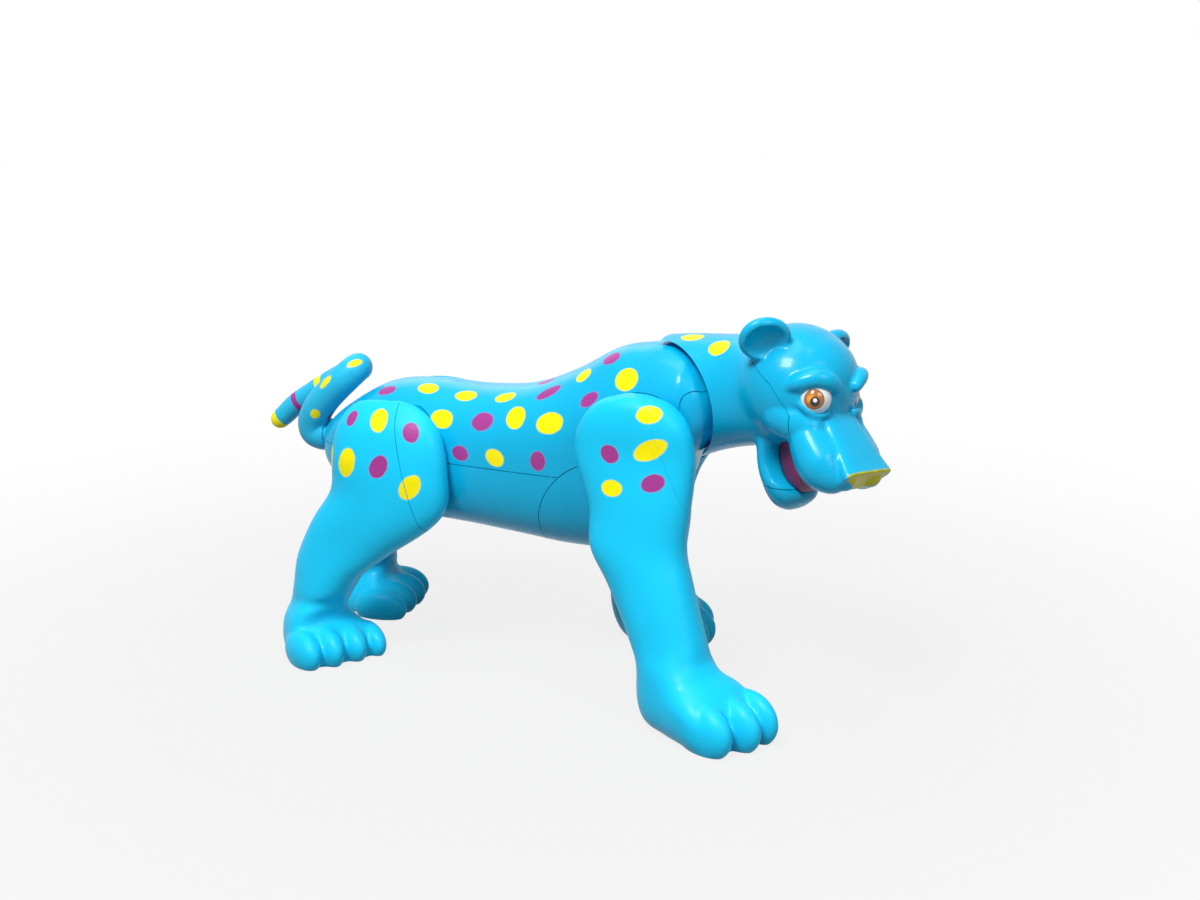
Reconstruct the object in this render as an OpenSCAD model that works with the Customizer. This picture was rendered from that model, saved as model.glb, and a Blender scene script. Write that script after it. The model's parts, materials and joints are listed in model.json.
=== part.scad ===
// Posable toy cheetah: a clamshell torso carries four turning legs, a nodding neck and a swivelling tail.
// The figure stands on z = 0 and looks along +x, with its right side towards -y. Millimetres.

/* [Torso] */
// Distance from the rump to the front of the chest
torso_length = 81; // [78:0.5:86]
// Width of the torso across the ribs
torso_width = 22; // [20:0.5:24]
// Height of the back behind the shoulders
back_height = 51.5; // [50:0.5:54]
// Height of the withers, over the shoulders
withers_height = 62.8; // [61:0.2:65]
// Height of the belly
belly_height = 24.5; // [22:0.5:27]
// Wall of the moulded shells
wall = 1.8; // [1.4:0.1:2.2]

/* [Legs] */
// Height of the shoulder pivots
shoulder_height = 44.5; // [43:0.5:46]
// Height of the hip pivots and of the seam along the flank
hip_height = 38.6; // [37.6:0.2:40]
// Distance between the hip and shoulder pivots
pivot_base = 48.7; // [47:0.1:50]
// Radius of the shoulder disc that turns in the torso
shoulder_r = 9; // [8:0.1:9.6]
// Radius of the hip disc that turns in the torso
hip_r = 10; // [9:0.1:10.8]
// How far the right fore ankle is ahead of its shoulder
right_stride = 10; // [6:0.5:13]
// How far the left fore ankle is behind its shoulder
left_stride = 11; // [8:0.5:14]
// How far the right hind ankle is behind its hip
hind_reach = 14.5; // [12:0.5:16]
// Angle that the fore legs spread outwards
leg_splay = 9; // [6:0.5:11]
// Angle that the right paws turn outwards
right_toe_out = 25; // [15:1:30]
// Angle that the left paws turn outwards
left_toe_out = 8; // [4:1:20]
// Length of a fore paw
fore_paw_length = 24.6; // [23:0.2:26]
// Length of a hind paw
hind_paw_length = 16.4; // [15:0.2:18]
// Width of a paw
paw_width = 14; // [13:0.5:15]

/* [Neck and head] */
// Radius of the rounded chest that the neck nods on
knuckle_r = 10.8; // [10:0.1:11.4]
// Width of the neck
neck_width = 20.6; // [19:0.2:22]
// Height of the neck
neck_height = 20; // [19:0.5:21]
// Distance from the nod pivot forward to the middle of the skull
neck_length = 23; // [22:0.5:25]
// Angle that the face looks to the right
head_turn = 24; // [0:1:30]
// Width of the skull
skull_width = 21; // [19:0.5:23]
// Length of the muzzle in front of the eyes
muzzle_length = 9.2; // [8:0.2:10.4]
// Diameter of an ear
ear_d = 8.8; // [7.8:0.2:9.8]

/* [Tail] */
// Diameter of the tail at its root
tail_d = 6.4; // [5.8:0.2:6.8]
// Diameter of the tail at its tip
tail_tip_d = 5.2; // [4.4:0.2:6]

/* [Fits] */
// Diameter of a leg pivot
pivot_d = 4.8; // [4:0.1:5.4]
// Diameter of the pin that the neck nods on
neck_pin_d = 3; // [2.4:0.1:3.4]
// Radial clearance of a turning pin in its bore
running_clearance = 0.05; // [0.02:0.01:0.1]
// Gap between pieces that move past each other
part_gap = 0.4; // [0.3:0.05:0.6]

/* [Hidden] */

// Colours of the moulded plastic
sky = [0.11, 0.66, 0.88];
deep_sky = [0.10, 0.60, 0.84];
magenta = [0.45, 0.12, 0.36];
steel = [0.75, 0.76, 0.78];

// Places that several pieces share
rump_x = -43;
chest_x = rump_x + torso_length;
neck_x = chest_x - knuckle_r;
neck_z = withers_height - knuckle_r;
shoulder_x = neck_x - 1.8;
hip_x = shoulder_x - pivot_base;
half = torso_width / 2;
// Floors of the round seats in the torso, measured from its middle plane
shoulder_seat = half - 2.4;
hip_seat = half - 3.4;
// Distances of the legs from the middle plane, at their pivots
fore_parting = half + 2.2;
hind_parting = half + 1.6;
// Distances ahead of the pivots of the seams down the legs, and the angles that these lean forwards
fore_seam = 6.9;
hind_seam = 5.2;
fore_lean = 24;
hind_lean = 15;
// Angle that the hind legs spread outwards
hind_splay = 1.5;
// Faces of the two ribs that hold the neck pin, and the tongue that turns between them
rib_in = 2.6;
rib_out = 4.4;
yoke_h = 3;
yoke_length = 17;
// Angle that the neck lifts
nod_up = 16;
// Lean of the seam between face and neck
cheek_lean = 34;
// Distance of that seam in front of the middle of the skull
cheek_seam = 3.1;
// Tilt of the head, with its right side up
head_tilt = 5;
// Drift of the skull to the right of the middle plane
head_side = 3.9 * head_turn / 24;
// Diameter of the tail peg
peg_d = 5;
// Lift of the tail's loop, which follows the height of the back over the hips
tail_lift = back_height - hip_height - 12.9;
big = 200;
sides = 24;
// Shift that brings the middle of the figure's footprint over the origin
shift = [-4.457, 2.04, 0];

// Power of the size of a number, with the sign kept
function keep_sign(v, p) = sign(v) * pow(abs(v), p);
// Item of a list, held at its ends
function held(list, i) = list[max(0, min(len(list) - 1, i))];
// Smooth curve through four rows, at share t between the middle two
function curve(a, b, c, d, t) =
  0.5 * (2 * b + (c - a) * t + (2 * a - 5 * b + 4 * c - d) * t * t + (3 * b - a - 3 * c + d) * t * t * t);
// Rows of a table with more rows put in between on smooth curves
function smooth_rows(rows, steps) = [
  for (i = [0:len(rows) - 2])
    for (k = [0:steps - 1])
      curve(held(rows, i - 1), rows[i], rows[i + 1], held(rows, i + 2), k / steps),
  rows[len(rows) - 1]
];
// Middle of a ring of points
function middle(ring) = [for (p = ring) 1] * ring / len(ring);
// Triangles over m rings of n points, with a fan on each end
function skin_faces(m, n) = concat(
  [for (i = [0:m - 2]) for (j = [0:n - 1]) [i * n + j, (i + 1) * n + (j + 1) % n, i * n + (j + 1) % n]],
  [for (i = [0:m - 2]) for (j = [0:n - 1]) [i * n + j, (i + 1) * n + j, (i + 1) * n + (j + 1) % n]],
  [for (j = [0:n - 1]) [m * n, j, (j + 1) % n]],
  [for (j = [0:n - 1]) [m * n + 1, (m - 1) * n + (j + 1) % n, (m - 1) * n + j]]
);

// Moves a piece from the frame of the torso to that of the footprint
module place() {
  translate(shift) children();
}

// Solid skin over a list of rings
module skin(rings) {
  ends = [middle(rings[0]), middle(rings[len(rings) - 1])];
  points = concat([for (ring = rings) each ring], ends);
  polyhedron(points, skin_faces(len(rings), len(rings[0])), convexity = 6);
}

// Rounded ball with three half sizes
module ball(half_sizes) {
  rings = [
    for (a = [172:-16.4:8])
      [for (k = [0:sides - 1]) [
        half_sizes[0] * cos(a),
        half_sizes[1] * sin(a) * cos(k * 360 / sides),
        half_sizes[2] * sin(a) * sin(k * 360 / sides)
      ]]
  ];
  skin(rings);
}

// Cylinder along y from one place to another
module cross_bar(x, z, r, y_from, y_to) {
  translate([x, y_to, z]) rotate([90, 0, 0]) cylinder(r = r, h = y_to - y_from, $fn = 64);
}

// Half space on the right of the middle plane
module right_half() {
  translate([-big / 2, -big, -big / 2]) cube([big, big, big]);
}

// Rows of the torso from rump to chest: place, top, bottom, half width
front_angles = [68, 57, 46, 28, 13, 4];
front_bottoms = [1.10, 1, 1, 1, 1, 1];
front_widths = [0.96, 0.92, 0.87, 0.73, 0.5, 0.25];
torso_rows = concat([
  [0, hip_height + 3, hip_height - 3.5, 0.24 * half],
  [1.6, hip_height + 0.45 * (back_height - hip_height), hip_height - 6, 0.45 * half],
  [6, back_height - 3.9, belly_height + 4.8, 0.68 * half],
  [14, back_height - 0.9, belly_height + 2.6, 0.83 * half],
  [23, back_height, belly_height + 1.4, 0.89 * half],
  [33, back_height - 0.2, belly_height + 1, 0.94 * half],
  [43, back_height + 0.9, belly_height + 0.3, 0.98 * half],
  [52, back_height + 3.9, belly_height - 0.4, half],
  [torso_length - 21, withers_height - 3.3, belly_height, half],
  [torso_length - 15, withers_height - 0.9, belly_height + 2.6, half],
  [torso_length - knuckle_r, withers_height, belly_height + 7.2, half]
], [
  for (i = [0:len(front_angles) - 1]) [
    torso_length - knuckle_r + knuckle_r * cos(front_angles[i]),
    neck_z + knuckle_r * sin(front_angles[i]),
    neck_z - knuckle_r * sin(front_angles[i]) * front_bottoms[i],
    front_widths[i] * half
  ]
]);

// Ring of the torso for one row, drawn in by an inset
function torso_ring(row, inset) = let (
  top = row[1] - inset,
  bottom = row[2] + inset,
  mid = (top + bottom) / 2
) [
  for (k = [0:sides - 1]) [
    rump_x + row[0],
    (row[3] - inset) * keep_sign(cos(k * 360 / sides), 0.82),
    mid + (top - mid) * keep_sign(sin(k * 360 / sides), 0.82)
  ]
];

// Whole outside of the torso
module torso_form() {
  skin([for (row = smooth_rows(torso_rows, 2)) torso_ring(row, 0)]);
}

// Hollow of the torso before its seats and ribs are left standing in it
module torso_hollow() {
  rows = [for (i = [2:len(torso_rows) - 3]) torso_rows[i]];
  skin([for (row = smooth_rows(rows, 1)) torso_ring(row, wall)]);
}

// The same piece on both sides of the figure
module both_sides() {
  children();
  mirror([0, 1, 0]) children();
}

// Torso as one moulding, with seats for the legs, a slot for the neck and a hole for the tail
module torso_body() {
  bore_r = pivot_d / 2 + running_clearance;
  difference() {
    torso_form();
    difference() {
      torso_hollow();
      both_sides() {
        cross_bar(shoulder_x, shoulder_height, shoulder_r + part_gap + wall, -half - 3, wall - shoulder_seat);
        cross_bar(hip_x, hip_height, hip_r + part_gap + wall, -half - 3, wall - hip_seat);
        neck_rib();
      }
    }
    both_sides() {
      cross_bar(shoulder_x, shoulder_height, shoulder_r + part_gap, -big / 4, -shoulder_seat);
      cross_bar(hip_x, hip_height, hip_r + part_gap, -big / 4, -hip_seat);
      cross_bar(shoulder_x, shoulder_height, bore_r, -half, 1 + wall - shoulder_seat);
      cross_bar(hip_x, hip_height, bore_r, -half, 1 + wall - hip_seat);
    }
    cross_bar(neck_x, neck_z, neck_pin_d / 2, -rib_out, rib_out);
    translate([neck_x + 4, -rib_in, neck_z - yoke_h - part_gap])
      cube([30, 2 * rib_in, 2 * yoke_h + 2 * part_gap + 11 * sin(nod_up)]);
    translate([rump_x - 5, 0, hip_height])
      rotate([0, 90, 0]) cylinder(r = peg_d / 2 + running_clearance, h = 13, $fn = 64);
  }
}

// Rib that holds one end of the neck pin
module neck_rib() {
  cross_bar(neck_x, neck_z, neck_pin_d / 2 + 2.4, -rib_out, -rib_in);
  translate([neck_x - neck_pin_d / 2 - 2.4, -rib_out, neck_z - big])
    cube([neck_pin_d + 4.8, rib_out - rib_in, big]);
}

// Side outline of the chest shell: a tab behind each shoulder, a bowl under the chest, a lug by the neck
module chest_zone() {
  tab_r = shoulder_r + part_gap + wall;
  bowl_x = shoulder_x - 10.4;
  bowl_z = belly_height + 8;
  bowl_r = 11.2;
  lean = 125;
  both_sides() cross_bar(shoulder_x, shoulder_height, tab_r, -big / 4, wall + part_gap - shoulder_seat);
  cross_bar(bowl_x, bowl_z, bowl_r, -big / 4, big / 4);
  cross_bar(neck_x, neck_z, neck_pin_d / 2 + 2.8, -rib_out - 0.4, rib_out + 0.4);
  translate([neck_x - neck_pin_d / 2 - 2.8, -rib_out - 0.4, belly_height])
    cube([neck_pin_d + 5.6, 2 * rib_out + 0.8, neck_z - belly_height]);
  cross_bar(neck_x + 7.1, neck_z + 1.6, 2.1, -big / 4, big / 4);
  translate([0, big / 4, 0]) rotate([90, 0, 0]) linear_extrude(height = big / 2) polygon([
    [bowl_x - bowl_r, 0],
    [bowl_x - bowl_r, bowl_z],
    [bowl_x + bowl_r * cos(lean), bowl_z + bowl_r * sin(lean)],
    [shoulder_x + tab_r * cos(lean), shoulder_height + tab_r * sin(lean)],
    [shoulder_x, shoulder_height + tab_r - 1.6],
    [neck_x + 4.2, neck_z - 0.2],
    [neck_x + 5.4, neck_z + 1.6],
    [chest_x - 2.5, neck_z + 3.6],
    [chest_x - 0.5, neck_z + 2.4],
    [chest_x + 20, neck_z + 2.4],
    [chest_x + 20, 0]
  ]);
}

// Half space under the seam along the flank
module under_seam() {
  translate([-big / 2, -big / 2, hip_height - big]) cube([big, big, big]);
}

// Rear lower moulding, between the hind legs
module belly_shell() {
  color(deep_sky) place() difference() {
    intersection() {
      torso_body();
      under_seam();
    }
    chest_zone();
  }
}

// Upper moulding, from the rump to the withers
module back_shell() {
  color(sky) place() difference() {
    torso_body();
    under_seam();
    chest_zone();
  }
}

// Front lower moulding, with the shoulder bores and the ribs of the neck pin
module chest_shell() {
  color(deep_sky) place() intersection() {
    torso_body();
    chest_zone();
  }
}

// Pin across the ribs that the neck nods on
module neck_pin() {
  color(steel) place() cross_bar(neck_x, neck_z, neck_pin_d / 2, -rib_out, rib_out);
}

// Tongue of the neck with its bored eye
module neck_yoke() {
  color(deep_sky) place() difference() {
    union() {
      cross_bar(neck_x, neck_z, yoke_h + 1.2, part_gap - rib_in, rib_in - part_gap);
      translate([neck_x, part_gap - rib_in, neck_z - yoke_h])
        cube([yoke_length, 2 * (rib_in - part_gap), 2 * yoke_h]);
    }
    cross_bar(neck_x, neck_z, neck_pin_d / 2 + running_clearance, -half, half);
  }
}

// Rows of the neck: place, height of its middle, tilt, half height, half width, drift to the right
neck_rows = [
  [neck_x + 2.2, neck_z + 0.9, 20.7, 0.53 * neck_height, 0.51 * neck_width, 0],
  [neck_x + 7, neck_z + 1.9, 15, 0.505 * neck_height, 0.495 * neck_width, 0],
  [neck_x + 12, neck_z + 2.7, 9, 0.475 * neck_height, 0.48 * neck_width, 0.15],
  [neck_x + 17, neck_z + 3.6, 4, 0.45 * neck_height, 0.46 * neck_width, 0.45],
  [neck_x + 22, neck_z + 4.6, 0, 0.40 * neck_height, 0.38 * neck_width, 0.9]
];

// Ring of the neck for one row
function neck_ring(row) = [
  for (k = [0:sides - 1]) let (
    up = row[3] * keep_sign(sin(k * 360 / sides), 0.9),
    out = row[4] * keep_sign(cos(k * 360 / sides), 0.9)
  ) [row[0] - up * sin(row[2]), out - row[5] * head_side, row[1] + up * cos(row[2])]
];

// Outside of the neck
module neck_form() {
  skin([for (row = smooth_rows(neck_rows, 2)) neck_ring(row)]);
}

// Place and turn of the head, with its origin in the middle of the skull
module at_head() {
  translate([neck_x + neck_length, -head_side, neck_z + 5.5])
    rotate([0, 0, -head_turn]) rotate([-head_tilt, 0, 0]) children();
}

// Half space of the face, in front of the seam that runs from behind the ears to the mouth
module face_zone() {
  at_head() rotate([0, -cheek_lean, 0]) translate([cheek_seam, -big / 2, -big / 2]) cube([big, big, big]);
}

// Skull and cheeks
module skull_form() {
  at_head() ball([10.5, skull_width / 2, 10]);
}

// Neck and back of the head as one moulding
module neck_body() {
  difference() {
    union() {
      neck_form();
      skull_form();
    }
    cross_bar(neck_x, neck_z, knuckle_r + part_gap, -big / 4, big / 4);
    translate([neck_x, part_gap - rib_in, neck_z - yoke_h])
      cube([yoke_length, 2 * (rib_in - part_gap), 2 * yoke_h]);
    face_zone();
  }
}

module neck_right_shell() {
  color(sky) place() intersection() {
    neck_body();
    right_half();
  }
}

module neck_left_shell() {
  color(sky) place() difference() {
    neck_body();
    right_half();
  }
}

// Rows of the muzzle in the head: place, top, bottom, half width
muzzle_rows = [
  [2, 2, -5, 4.4],
  [6, 0.2, -7.6, 4.3],
  [8.5, -2, -9.4, 4.1],
  [8.5 + 0.28 * muzzle_length, -4.5, -11.4, 4.3],
  [8.5 + 0.55 * muzzle_length, -7.2, -13.2, 4.7],
  [8.5 + 0.85 * muzzle_length, -10.2, -14, 5],
  [8.5 + 0.97 * muzzle_length, -11.3, -13, 4.8],
  [8.5 + muzzle_length, -11.6, -12.4, 4.2]
];

// Ring of the muzzle for one row
function muzzle_ring(row) = let (mid = (row[1] + row[2]) / 2) [
  for (k = [0:sides - 1]) [
    row[0],
    row[3] * keep_sign(cos(k * 360 / sides), 0.6),
    mid + (row[1] - mid) * keep_sign(sin(k * 360 / sides), 0.6)
  ]
];

// Sphere for the hulls of the face
module bead(place, r) {
  translate(place) sphere(r = r, $fn = 16);
}

// Brow, eye, cheek, lip and ear of the right side of the face
module face_side() {
  hull() {
    bead([6.2, -7.6, 1], 1.5);
    bead([8.8, -5.4, 2.6], 1.8);
    bead([10.2, -2.6, 1], 1.5);
  }
  hull() {
    bead([7.4, -5.6, -0.9], 2.7);
    bead([7.9, -4.6, -0.9], 2.7);
  }
  hull() {
    bead([3.6, -6, -4], 4);
    bead([8, -5, -5.6], 3);
  }
  hull() {
    bead([9.6, -4.8, -9.4], 3.5);
    bead([11.4, -5, -10.8], 4.1);
  }
  hull() {
    bead([11.4, -5, -10.8], 4.1);
    bead([8.5 + 0.75 * muzzle_length, -4.4, -12], 2.5);
  }
  translate([1.3, 0.9 - skull_width / 2, 8]) rotate([0, 28, -13]) difference() {
    scale([0.42, 1.05, 1.02]) sphere(d = ear_d, $fn = 20);
    translate([ear_d * 0.42, 0, 0]) sphere(d = ear_d * 0.92, $fn = 20);
  }
}

// Face with muzzle, brows, eyes and ears
module face_shell() {
  color(sky) place() intersection() {
    union() {
      skull_form();
      at_head() {
        skin([for (row = smooth_rows(muzzle_rows, 2)) muzzle_ring(row)]);
        face_side();
        mirror([0, 1, 0]) face_side();
      }
    }
    face_zone();
  }
}

// Rows of the lower jaw in the head, downwards: height, back, front, half width
jaw_rows = [
  [-5, -4, 2.6, 6.6],
  [-9, -3.5, 2.1, 6.4],
  [-12.5, -3.3, 2, 6.1],
  [-15, -3, 3.3, 5.8],
  [-16.9, -2.5, 5.8, 5.4],
  [-18.9, -1.6, 5.8, 4.6],
  [-20.6, -0.2, 4.3, 3.1],
  [-21.4, 1.1, 2.7, 1.3]
];
// Rows of the mouth that is scooped out of the jaw
mouth_rows = [
  [-3, -1.1, 10.9, 4.4],
  [-9, -0.9, 10.9, 4.3],
  [-13, -0.5, 10.9, 4],
  [-15.7, 0.9, 10.4, 3.4],
  [-17.2, 3.1, 8.9, 2]
];
// Rows of the tongue, before it is trimmed to the mouth
tongue_rows = [
  [-4, -3.1, 4.3, 6],
  [-9, -3.1, 4.9, 6],
  [-12.5, -3.1, 5.8, 6],
  [-15.4, -2.1, 6.4, 5],
  [-18, 0.9, 4.5, 3]
];

// Ring of the jaw, mouth or tongue for one row
function drop_ring(row) = let (mid = (row[1] + row[2]) / 2) [
  for (k = [0:sides - 1]) [
    mid + (row[2] - mid) * keep_sign(cos(k * 360 / sides), 0.85),
    -row[3] * keep_sign(sin(k * 360 / sides), 0.85),
    row[0]
  ]
];

// Form hung under the skull over a table of rows
module drop_form(rows) {
  at_head() skin([for (row = smooth_rows(rows, 2)) drop_ring(row)]);
}

// Lower jaw, hung open under the cheeks
module jaw_shell() {
  color(sky) place() difference() {
    drop_form(jaw_rows);
    drop_form(mouth_rows);
    neck_form();
    skull_form();
  }
}

// Tongue and lining of the open mouth
module tongue() {
  color(magenta) place() difference() {
    intersection() {
      drop_form(mouth_rows);
      drop_form(tongue_rows);
    }
    neck_form();
    skull_form();
  }
}

// Ring of a leg for one row: place, tilt, turn, fore half, rear half, half width, depth of the toe grooves
function leg_ring(row) = [
  for (k = [0:sides - 1]) let (
    c = keep_sign(cos(k * 360 / sides), 0.86),
    s = -keep_sign(sin(k * 360 / sides), 0.86),
    groove = row[8] * pow(abs(cos(360 * s)), 3) * max(0, c),
    along = (c > 0 ? row[5] : row[6]) * c * (1 - groove),
    across = row[7] * s,
    ahead = along * cos(row[3]) - 5 * row[8] * s * s - 4 * groove * row[8]
  ) [
    row[0] + ahead * cos(row[4]) + across * sin(row[4]),
    row[1] - ahead * sin(row[4]) + across * cos(row[4]),
    row[2] + along * sin(row[3])
  ]
];

// Row of a paw, from its share of the length behind the toes
function paw_row(ankle, share, length, turn, rest) = [
  ankle[0] + share * length * cos(turn),
  ankle[1] - share * length * sin(turn),
  rest[0], rest[1], turn, rest[2], rest[3], rest[4], rest[5]
];

// Distance of a fore leg from the middle plane at a height
function fore_out(z) = fore_parting + (shoulder_height - z) * tan(leg_splay);
// Distance of a hind leg from the middle plane at a height
function hind_out(z) = hind_parting + (hip_height - z) * tan(hind_splay);

// Rows of a fore leg with its ankle ahead of the shoulder by a stride, bent by shares of it
function fore_rows(stride, bend, t) = let (
  x = shoulder_x,
  z = shoulder_height,
  ankle = [x + stride, -fore_out(10)],
  w = paw_width / 2,
  l = bend[7] * (fore_paw_length - 6.8) / 0.72
) [
  [x, -fore_out(z), z + 10.6, 0, 0, 2.4, 2.4, 2, 0],
  [x, -fore_out(z), z + 9.3, 0, 0, 6.4, 6.4, 3.4, 0],
  [x, -fore_out(z), z + 5.8, 0, 0, bend[6] - 1.2, 9.6, 4.2, 0],
  [x, -fore_out(z), z, 0, 0, bend[6], 10.8, 4.5, 0],
  [x + bend[0] * stride, -fore_out(0.81 * z), 0.81 * z, 0, 0, bend[4], 8.9, 4.7, 0],
  [x + bend[1] * stride, -fore_out(0.665 * z), 0.665 * z, 2, 0, bend[5], 8.5, 4.9, 0],
  [x + bend[2] * stride, -fore_out(0.54 * z), 0.54 * z, 6, 0.15 * t, 7.4, 7.5, 5, 0],
  [x + bend[3] * stride, -fore_out(0.34 * z), 0.34 * z, 6, 0.5 * t, 6.7, 6.8, 5.2, 0],
  paw_row(ankle, 0, l, 0.8 * t, [11, 12, 6.5, 6.8, 0.86 * w, 0]),
  paw_row(ankle, 0.08, l, t, [7.8, 42, 5.6, 10 * bend[7], 0.92 * w, 0]),
  paw_row(ankle, 0.18, l, t, [6.2, 62, 5.3, 8.2, 0.97 * w, 0.02]),
  paw_row(ankle, 0.28, l, t, [5.7, 78, 5, 7.2, w, 0.05]),
  paw_row(ankle, 0.46, l, t, [5, 90, 5.2, 6.6, w, 0.16]),
  paw_row(ankle, 0.63, l, t, [4.4, 92, 4.4, 5.8, w, 0.2]),
  paw_row(ankle, 0.70, l, t, [3.8, 94, 3.2, 4.7, 0.88 * w, 0.16]),
  paw_row(ankle, 0.73, l, t, [3.5, 94, 1.6, 1.9, 0.56 * w, 0.1])
];
// Shares of the stride at four heights down a fore leg, its fore halves at two of them and at the shoulder,
// and its share of the paw length
right_bend = [0.14, 0.17, 0.43, 0.81, 9, 8.5, 10.8, 1];
left_bend = [0.48, 0.70, 0.80, 0.91, 8, 7.8, 9, 0.86];

// Rows of a hind leg with its ankle behind the hip by a reach
function hind_rows(reach, t) = let (
  x = hip_x,
  z = hip_height,
  ankle = [x - reach, 0.8 - hind_out(10)],
  w = 0.59 * paw_width,
  l = (hind_paw_length - 6.9) / 0.665
) [
  [x - 0.4, -hind_out(z) + 2.9, z + 10.9, 0, 0, 2.4, 2.4, 1.4, 0],
  [x - 0.4, -hind_out(z) + 2.3, z + 9.9, 0, 0, 6.6, 6.6, 2.6, 0],
  [x - 0.2, -hind_out(z) + 1, z + 6.3, 0, 0, 10.4, 9.8, 4, 0],
  [x, -hind_out(z), z, -4, 0, 12, 11.2, 4.5, 0],
  [x - 0.03 * reach, -hind_out(0.80 * z), 0.80 * z, -8, 0, 11.6, 11.2, 4.6, 0],
  [x - 0.50 * reach, -hind_out(0.61 * z), 0.61 * z, -16, 0, 8.4, 8.8, 4.7, 0],
  [x - 0.82 * reach, -hind_out(0.46 * z), 0.46 * z, -10, 0.3 * t, 7.3, 7.5, 4.8, 0],
  [x - 0.96 * reach, -hind_out(0.33 * z), 0.33 * z, 0, 0.6 * t, 6.4, 6.6, 5, 0],
  paw_row(ankle, 0, l, 0.9 * t, [10.4, 10, 5.5, 7.4, 0.80 * w, 0]),
  paw_row(ankle, 0.05, l, t, [7.2, 42, 4.9, 10.6, 0.92 * w, 0]),
  paw_row(ankle, 0.20, l, t, [5.9, 62, 5, 8.2, 0.98 * w, 0.02]),
  paw_row(ankle, 0.34, l, t, [5.1, 80, 4.9, 6.6, w, 0.05]),
  paw_row(ankle, 0.50, l, t, [4.6, 90, 4.4, 5.9, w, 0.16]),
  paw_row(ankle, 0.61, l, t, [3.9, 92, 3.6, 5, w, 0.2]),
  paw_row(ankle, 0.68, l, t, [3.4, 94, 2.7, 4, 0.88 * w, 0.16]),
  paw_row(ankle, 0.71, l, t, [3.1, 94, 1.4, 1.7, 0.56 * w, 0.1])
];

// Outside of a right-hand leg, cut flat at the ground and where it passes the flank
module leg_form(rows, x, z, disc_r) {
  difference() {
    skin([for (row = smooth_rows(rows, 2)) leg_ring(row)]);
    cross_bar(x, z, 2 * disc_r, -half - part_gap, half);
    translate([-big / 2, -big / 2, -big]) cube([big, big, big]);
  }
}

// Space in front of the seam that leans across the top of a leg
module panel_zone(x, z, lean) {
  translate([x, 0, z]) rotate([0, -lean, 0]) translate([0, -big / 2, -24]) cube([big, big, big]);
}

// Disc of a leg that turns in its seat in the torso
module leg_disc(x, z, disc_r, seat, parting) {
  cross_bar(x, z, disc_r, -parting, -seat - part_gap);
}

// Main moulding of a leg, with its disc and the bore of its pivot
module leg_main(rows, x, z, disc_r, seat, parting, seam, lean) {
  difference() {
    union() {
      difference() {
        leg_form(rows, x, z, disc_r);
        panel_zone(x + seam, z, lean);
      }
      leg_disc(x, z, disc_r, seat, parting);
    }
    cross_bar(x, z, pivot_d / 2, -parting + 1, -seat + 1);
  }
}

// Front panel of a leg, over the edge of its disc
module leg_panel(rows, x, z, disc_r, seat, parting, seam, lean) {
  difference() {
    intersection() {
      leg_form(rows, x, z, disc_r);
      panel_zone(x + seam, z, lean);
    }
    leg_disc(x, z, disc_r, seat, parting);
  }
}

// Pivot pressed into a leg, with a flange inside the torso
module leg_pivot(x, z, seat, parting) {
  inner = seat - wall - 0.15;
  cross_bar(x, z, pivot_d / 2, -parting + 1, -inner);
  cross_bar(x, z, pivot_d / 2 + 1.3, -inner, 1.3 - inner);
}

// Rows of the four legs, with the left ones drawn on the right and mirrored
right_fore = fore_rows(right_stride, right_bend, right_toe_out);
left_fore = fore_rows(-left_stride, left_bend, left_toe_out);
right_hind = hind_rows(hind_reach, 1.25 * right_toe_out);
left_hind = hind_rows(hind_reach + 5.5, 1.25 * left_toe_out);
// Leans of the seams of the left legs, which stand further back than the right ones
left_fore_lean = fore_lean - atan(right_stride / shoulder_height) - atan(left_stride / shoulder_height);
left_hind_lean = hind_lean + atan(hind_reach / hip_height) - atan((hind_reach + 5.5) / hip_height);

// Main moulding of a fore leg, with the place and lean of its seam
module fore_main(rows, seam, lean) {
  leg_main(rows, shoulder_x, shoulder_height, shoulder_r, shoulder_seat, fore_parting, seam, lean);
}

// Front panel of a fore leg
module fore_panel(rows, seam, lean) {
  leg_panel(rows, shoulder_x, shoulder_height, shoulder_r, shoulder_seat, fore_parting, seam, lean);
}

// Main moulding of a hind leg
module hind_main(rows, lean) {
  leg_main(rows, hip_x, hip_height, hip_r, hip_seat, hind_parting, hind_seam, lean);
}

// Front panel of a hind leg
module hind_panel(rows, lean) {
  leg_panel(rows, hip_x, hip_height, hip_r, hip_seat, hind_parting, hind_seam, lean);
}

module front_right_main() {
  color(deep_sky) place() fore_main(right_fore, fore_seam, fore_lean);
}
module front_right_panel() {
  color(sky) place() fore_panel(right_fore, fore_seam, fore_lean);
}
module front_right_pivot() {
  color(deep_sky) place() leg_pivot(shoulder_x, shoulder_height, shoulder_seat, fore_parting);
}
module front_left_main() {
  color(deep_sky) place() mirror([0, 1, 0]) fore_main(left_fore, fore_seam - 2.6, left_fore_lean);
}
module front_left_panel() {
  color(sky) place() mirror([0, 1, 0]) fore_panel(left_fore, fore_seam - 2.6, left_fore_lean);
}
module front_left_pivot() {
  color(deep_sky) place() mirror([0, 1, 0])
    leg_pivot(shoulder_x, shoulder_height, shoulder_seat, fore_parting);
}
module rear_right_main() {
  color(deep_sky) place() hind_main(right_hind, hind_lean);
}
module rear_right_panel() {
  color(sky) place() hind_panel(right_hind, hind_lean);
}
module rear_right_pivot() {
  color(deep_sky) place() leg_pivot(hip_x, hip_height, hip_seat, hind_parting);
}
module rear_left_main() {
  color(deep_sky) place() mirror([0, 1, 0]) hind_main(left_hind, left_hind_lean);
}
module rear_left_panel() {
  color(sky) place() mirror([0, 1, 0]) hind_panel(left_hind, left_hind_lean);
}
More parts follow.
